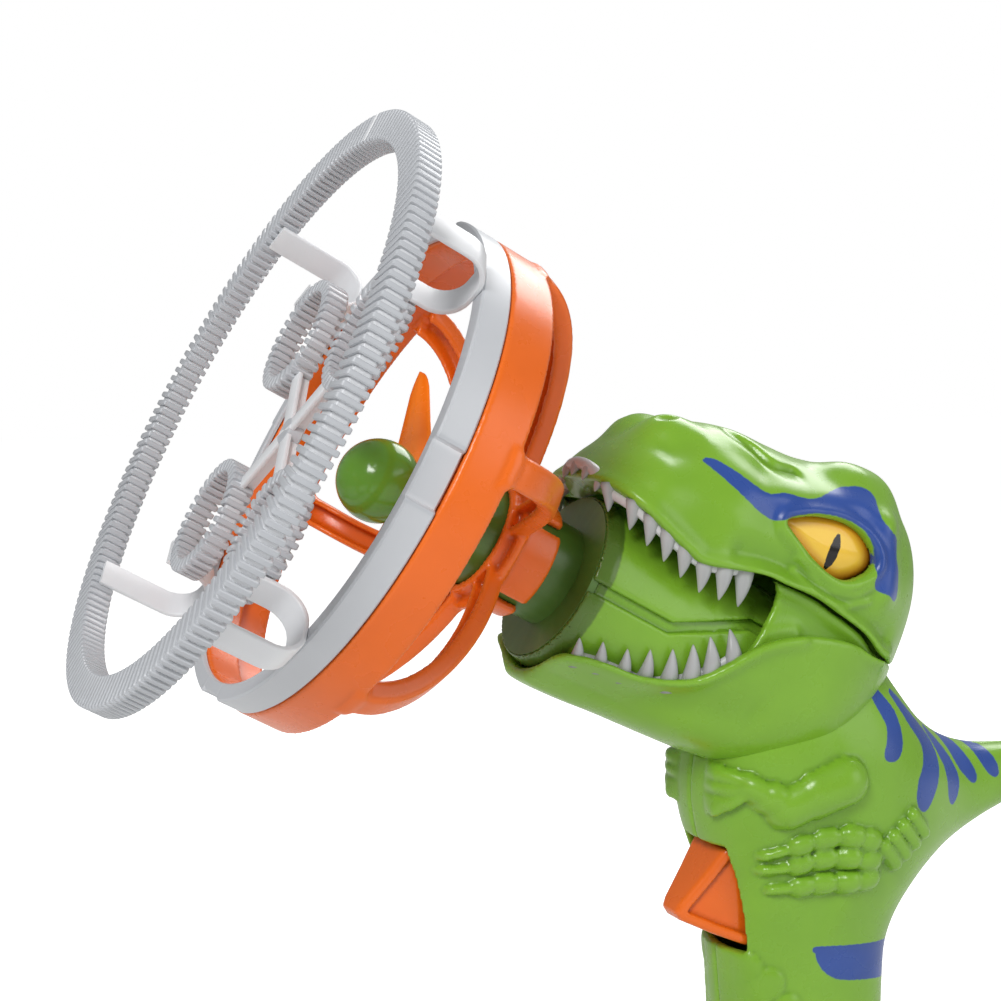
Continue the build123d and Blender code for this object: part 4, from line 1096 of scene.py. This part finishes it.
def trigger():
    """The trigger: a wedge with a sunk panel on each side inside a raised border."""
    grid = Grid(*TRIGGER_BOX, TRIGGER_CELL)
    outline = grid.sheet(TRIGGER)
    half = TRIGGER_HALF - GAP - TAPER * np.maximum(grid.x - TAPER_START, 0)
    solid = smooth_max(outline, np.abs(grid.y) - half, 1.6)
    panel = smooth_max(outline + BORDER, half - PANEL_DEPTH - np.abs(grid.y), 1.0)
    solid = smooth_max(solid, -panel, 0.8)
    pin = np.hypot(grid.x - PIN[0], grid.z - PIN[1]) - PIN_RADIUS
    return grid.mesh(np.maximum(solid, -pin))


piece("trigger_moulding", trigger(), "trigger", orange, ["trigger"])

# ------------------------------------------------------------------ CAD nodes that stay
# the nose plate takes the darker green that carries painted shade
KEPT = {"nose_plate": painted_shade_green, "motor_can": plated, "motor_endcap": black, "motor_shaft": steel,
        "shell_screws": steel, "door_screw": steel, "battery_front": wrap, "battery_middle": wrap,
        "battery_rear": wrap, "battery_springs": plated, "battery_contact": plated, "trigger_pin": steel,
        "trigger_spring": steel, "switch_body": black, "switch_plunger": grey}
for node, material in KEPT.items():
    mesh = frame["nodes"][node].data
    mesh.materials.clear()
    mesh.materials.append(material)

# ------------------------------------------------------------------ floor, lights and camera
AMBIENT = 0.3                    # strength of the even light from all round
BACKDROP = 1.0                   # how bright the backdrop is seen
FLOOR_LIFT = BACKDROP - 0.88 * AMBIENT
FLOOR_HALF = 6.0
floor_mesh = bpy.data.meshes.new("floor")
floor_mesh.from_pydata([(x * FLOOR_HALF, y * FLOOR_HALF, 0) for x, y in ((-1, -1), (1, -1), (1, 1), (-1, 1))],
                       [], [(0, 1, 2, 3)])
floor = placed("floor", floor_mesh)
floor_paint, floor_nodes, floor_links, floor_shader = new_material("floor_paper")
paper = ranged(floor_nodes, floor_links, noise(floor_nodes, floor_links, 8.0), 0.3, 0.7, 0.0, 1.0)
floor_links.new(mixed(floor_nodes, floor_links, paper, (0.88, 0.88, 0.88), (0.9, 0.9, 0.9)),
                floor_shader.inputs["Base Color"])
floor_shader.inputs["Roughness"].default_value = 0.9
floor_shader.inputs["Emission Color"].default_value = (1.0, 1.0, 1.0, 1)
floor_seen = floor_nodes.new("ShaderNodeLightPath").outputs["Is Camera Ray"]
floor_links.new(ranged(floor_nodes, floor_links, floor_seen, 0.0, 1.0, 0.0, FLOOR_LIFT),
                floor_shader.inputs["Emission Strength"])
floor_shader.inputs["Specular IOR Level"].default_value = 0.1
floor_mesh.materials.append(floor_paint)

world = bpy.data.worlds.new("studio")
world.use_nodes = True
sky_nodes, sky_links = world.node_tree.nodes, world.node_tree.links
seen = sky_nodes.new("ShaderNodeLightPath").outputs["Is Camera Ray"]
sky_links.new(ranged(sky_nodes, sky_links, seen, 0.0, 1.0, AMBIENT, BACKDROP),
              sky_nodes["Background"].inputs["Strength"])
sky_nodes["Background"].inputs["Color"].default_value = (1.0, 1.0, 1.0, 1)
bpy.context.scene.world = world
bpy.context.scene.view_settings.view_transform = "Standard"


def soft_light(name, place, aim, size, power):
    """A square soft light that points at a spot; places are in metres."""
    light = bpy.data.lights.new(name, "AREA")
    light.size, light.energy = size, power
    lamp = placed(name, light)
    lamp.location = place
    lamp.rotation_euler = (Vector(aim) - Vector(place)).to_track_quat("-Z", "Y").to_euler()


AIM = (0.06, 0.0, 0.16)
soft_light("key", (0.75, 0.75, 0.95), AIM, 0.4, 9.5)
soft_light("fill", (-0.7, 0.9, 0.45), AIM, 0.7, 2.5)
soft_light("rim", (-0.6, -0.5, 0.9), AIM, 0.6, 6.0)

camera_data = bpy.data.cameras.new("camera")
camera_data.lens, camera_data.sensor_width = 65.2, 36.0
camera = placed("camera", camera_data)
ring_centre = on_barrel(ring_front, 0, 0) * METRE
FROM_RING = np.array((0.1075, 0.4256, 0.0066))     # camera's place, seen from the ring's centre
camera_place = Vector(ring_centre + FROM_RING)
right = Vector((-0.923, 0.385, -0.0108)).normalized()
back = Vector((0.383, 0.921, 0.0717))
back = (back - right * back.dot(right)).normalized()
rotation = Matrix((right, back.cross(right), back)).transposed()
camera.matrix_world = Matrix.Translation(camera_place) @ rotation.to_4x4()
bpy.context.scene.camera = camera
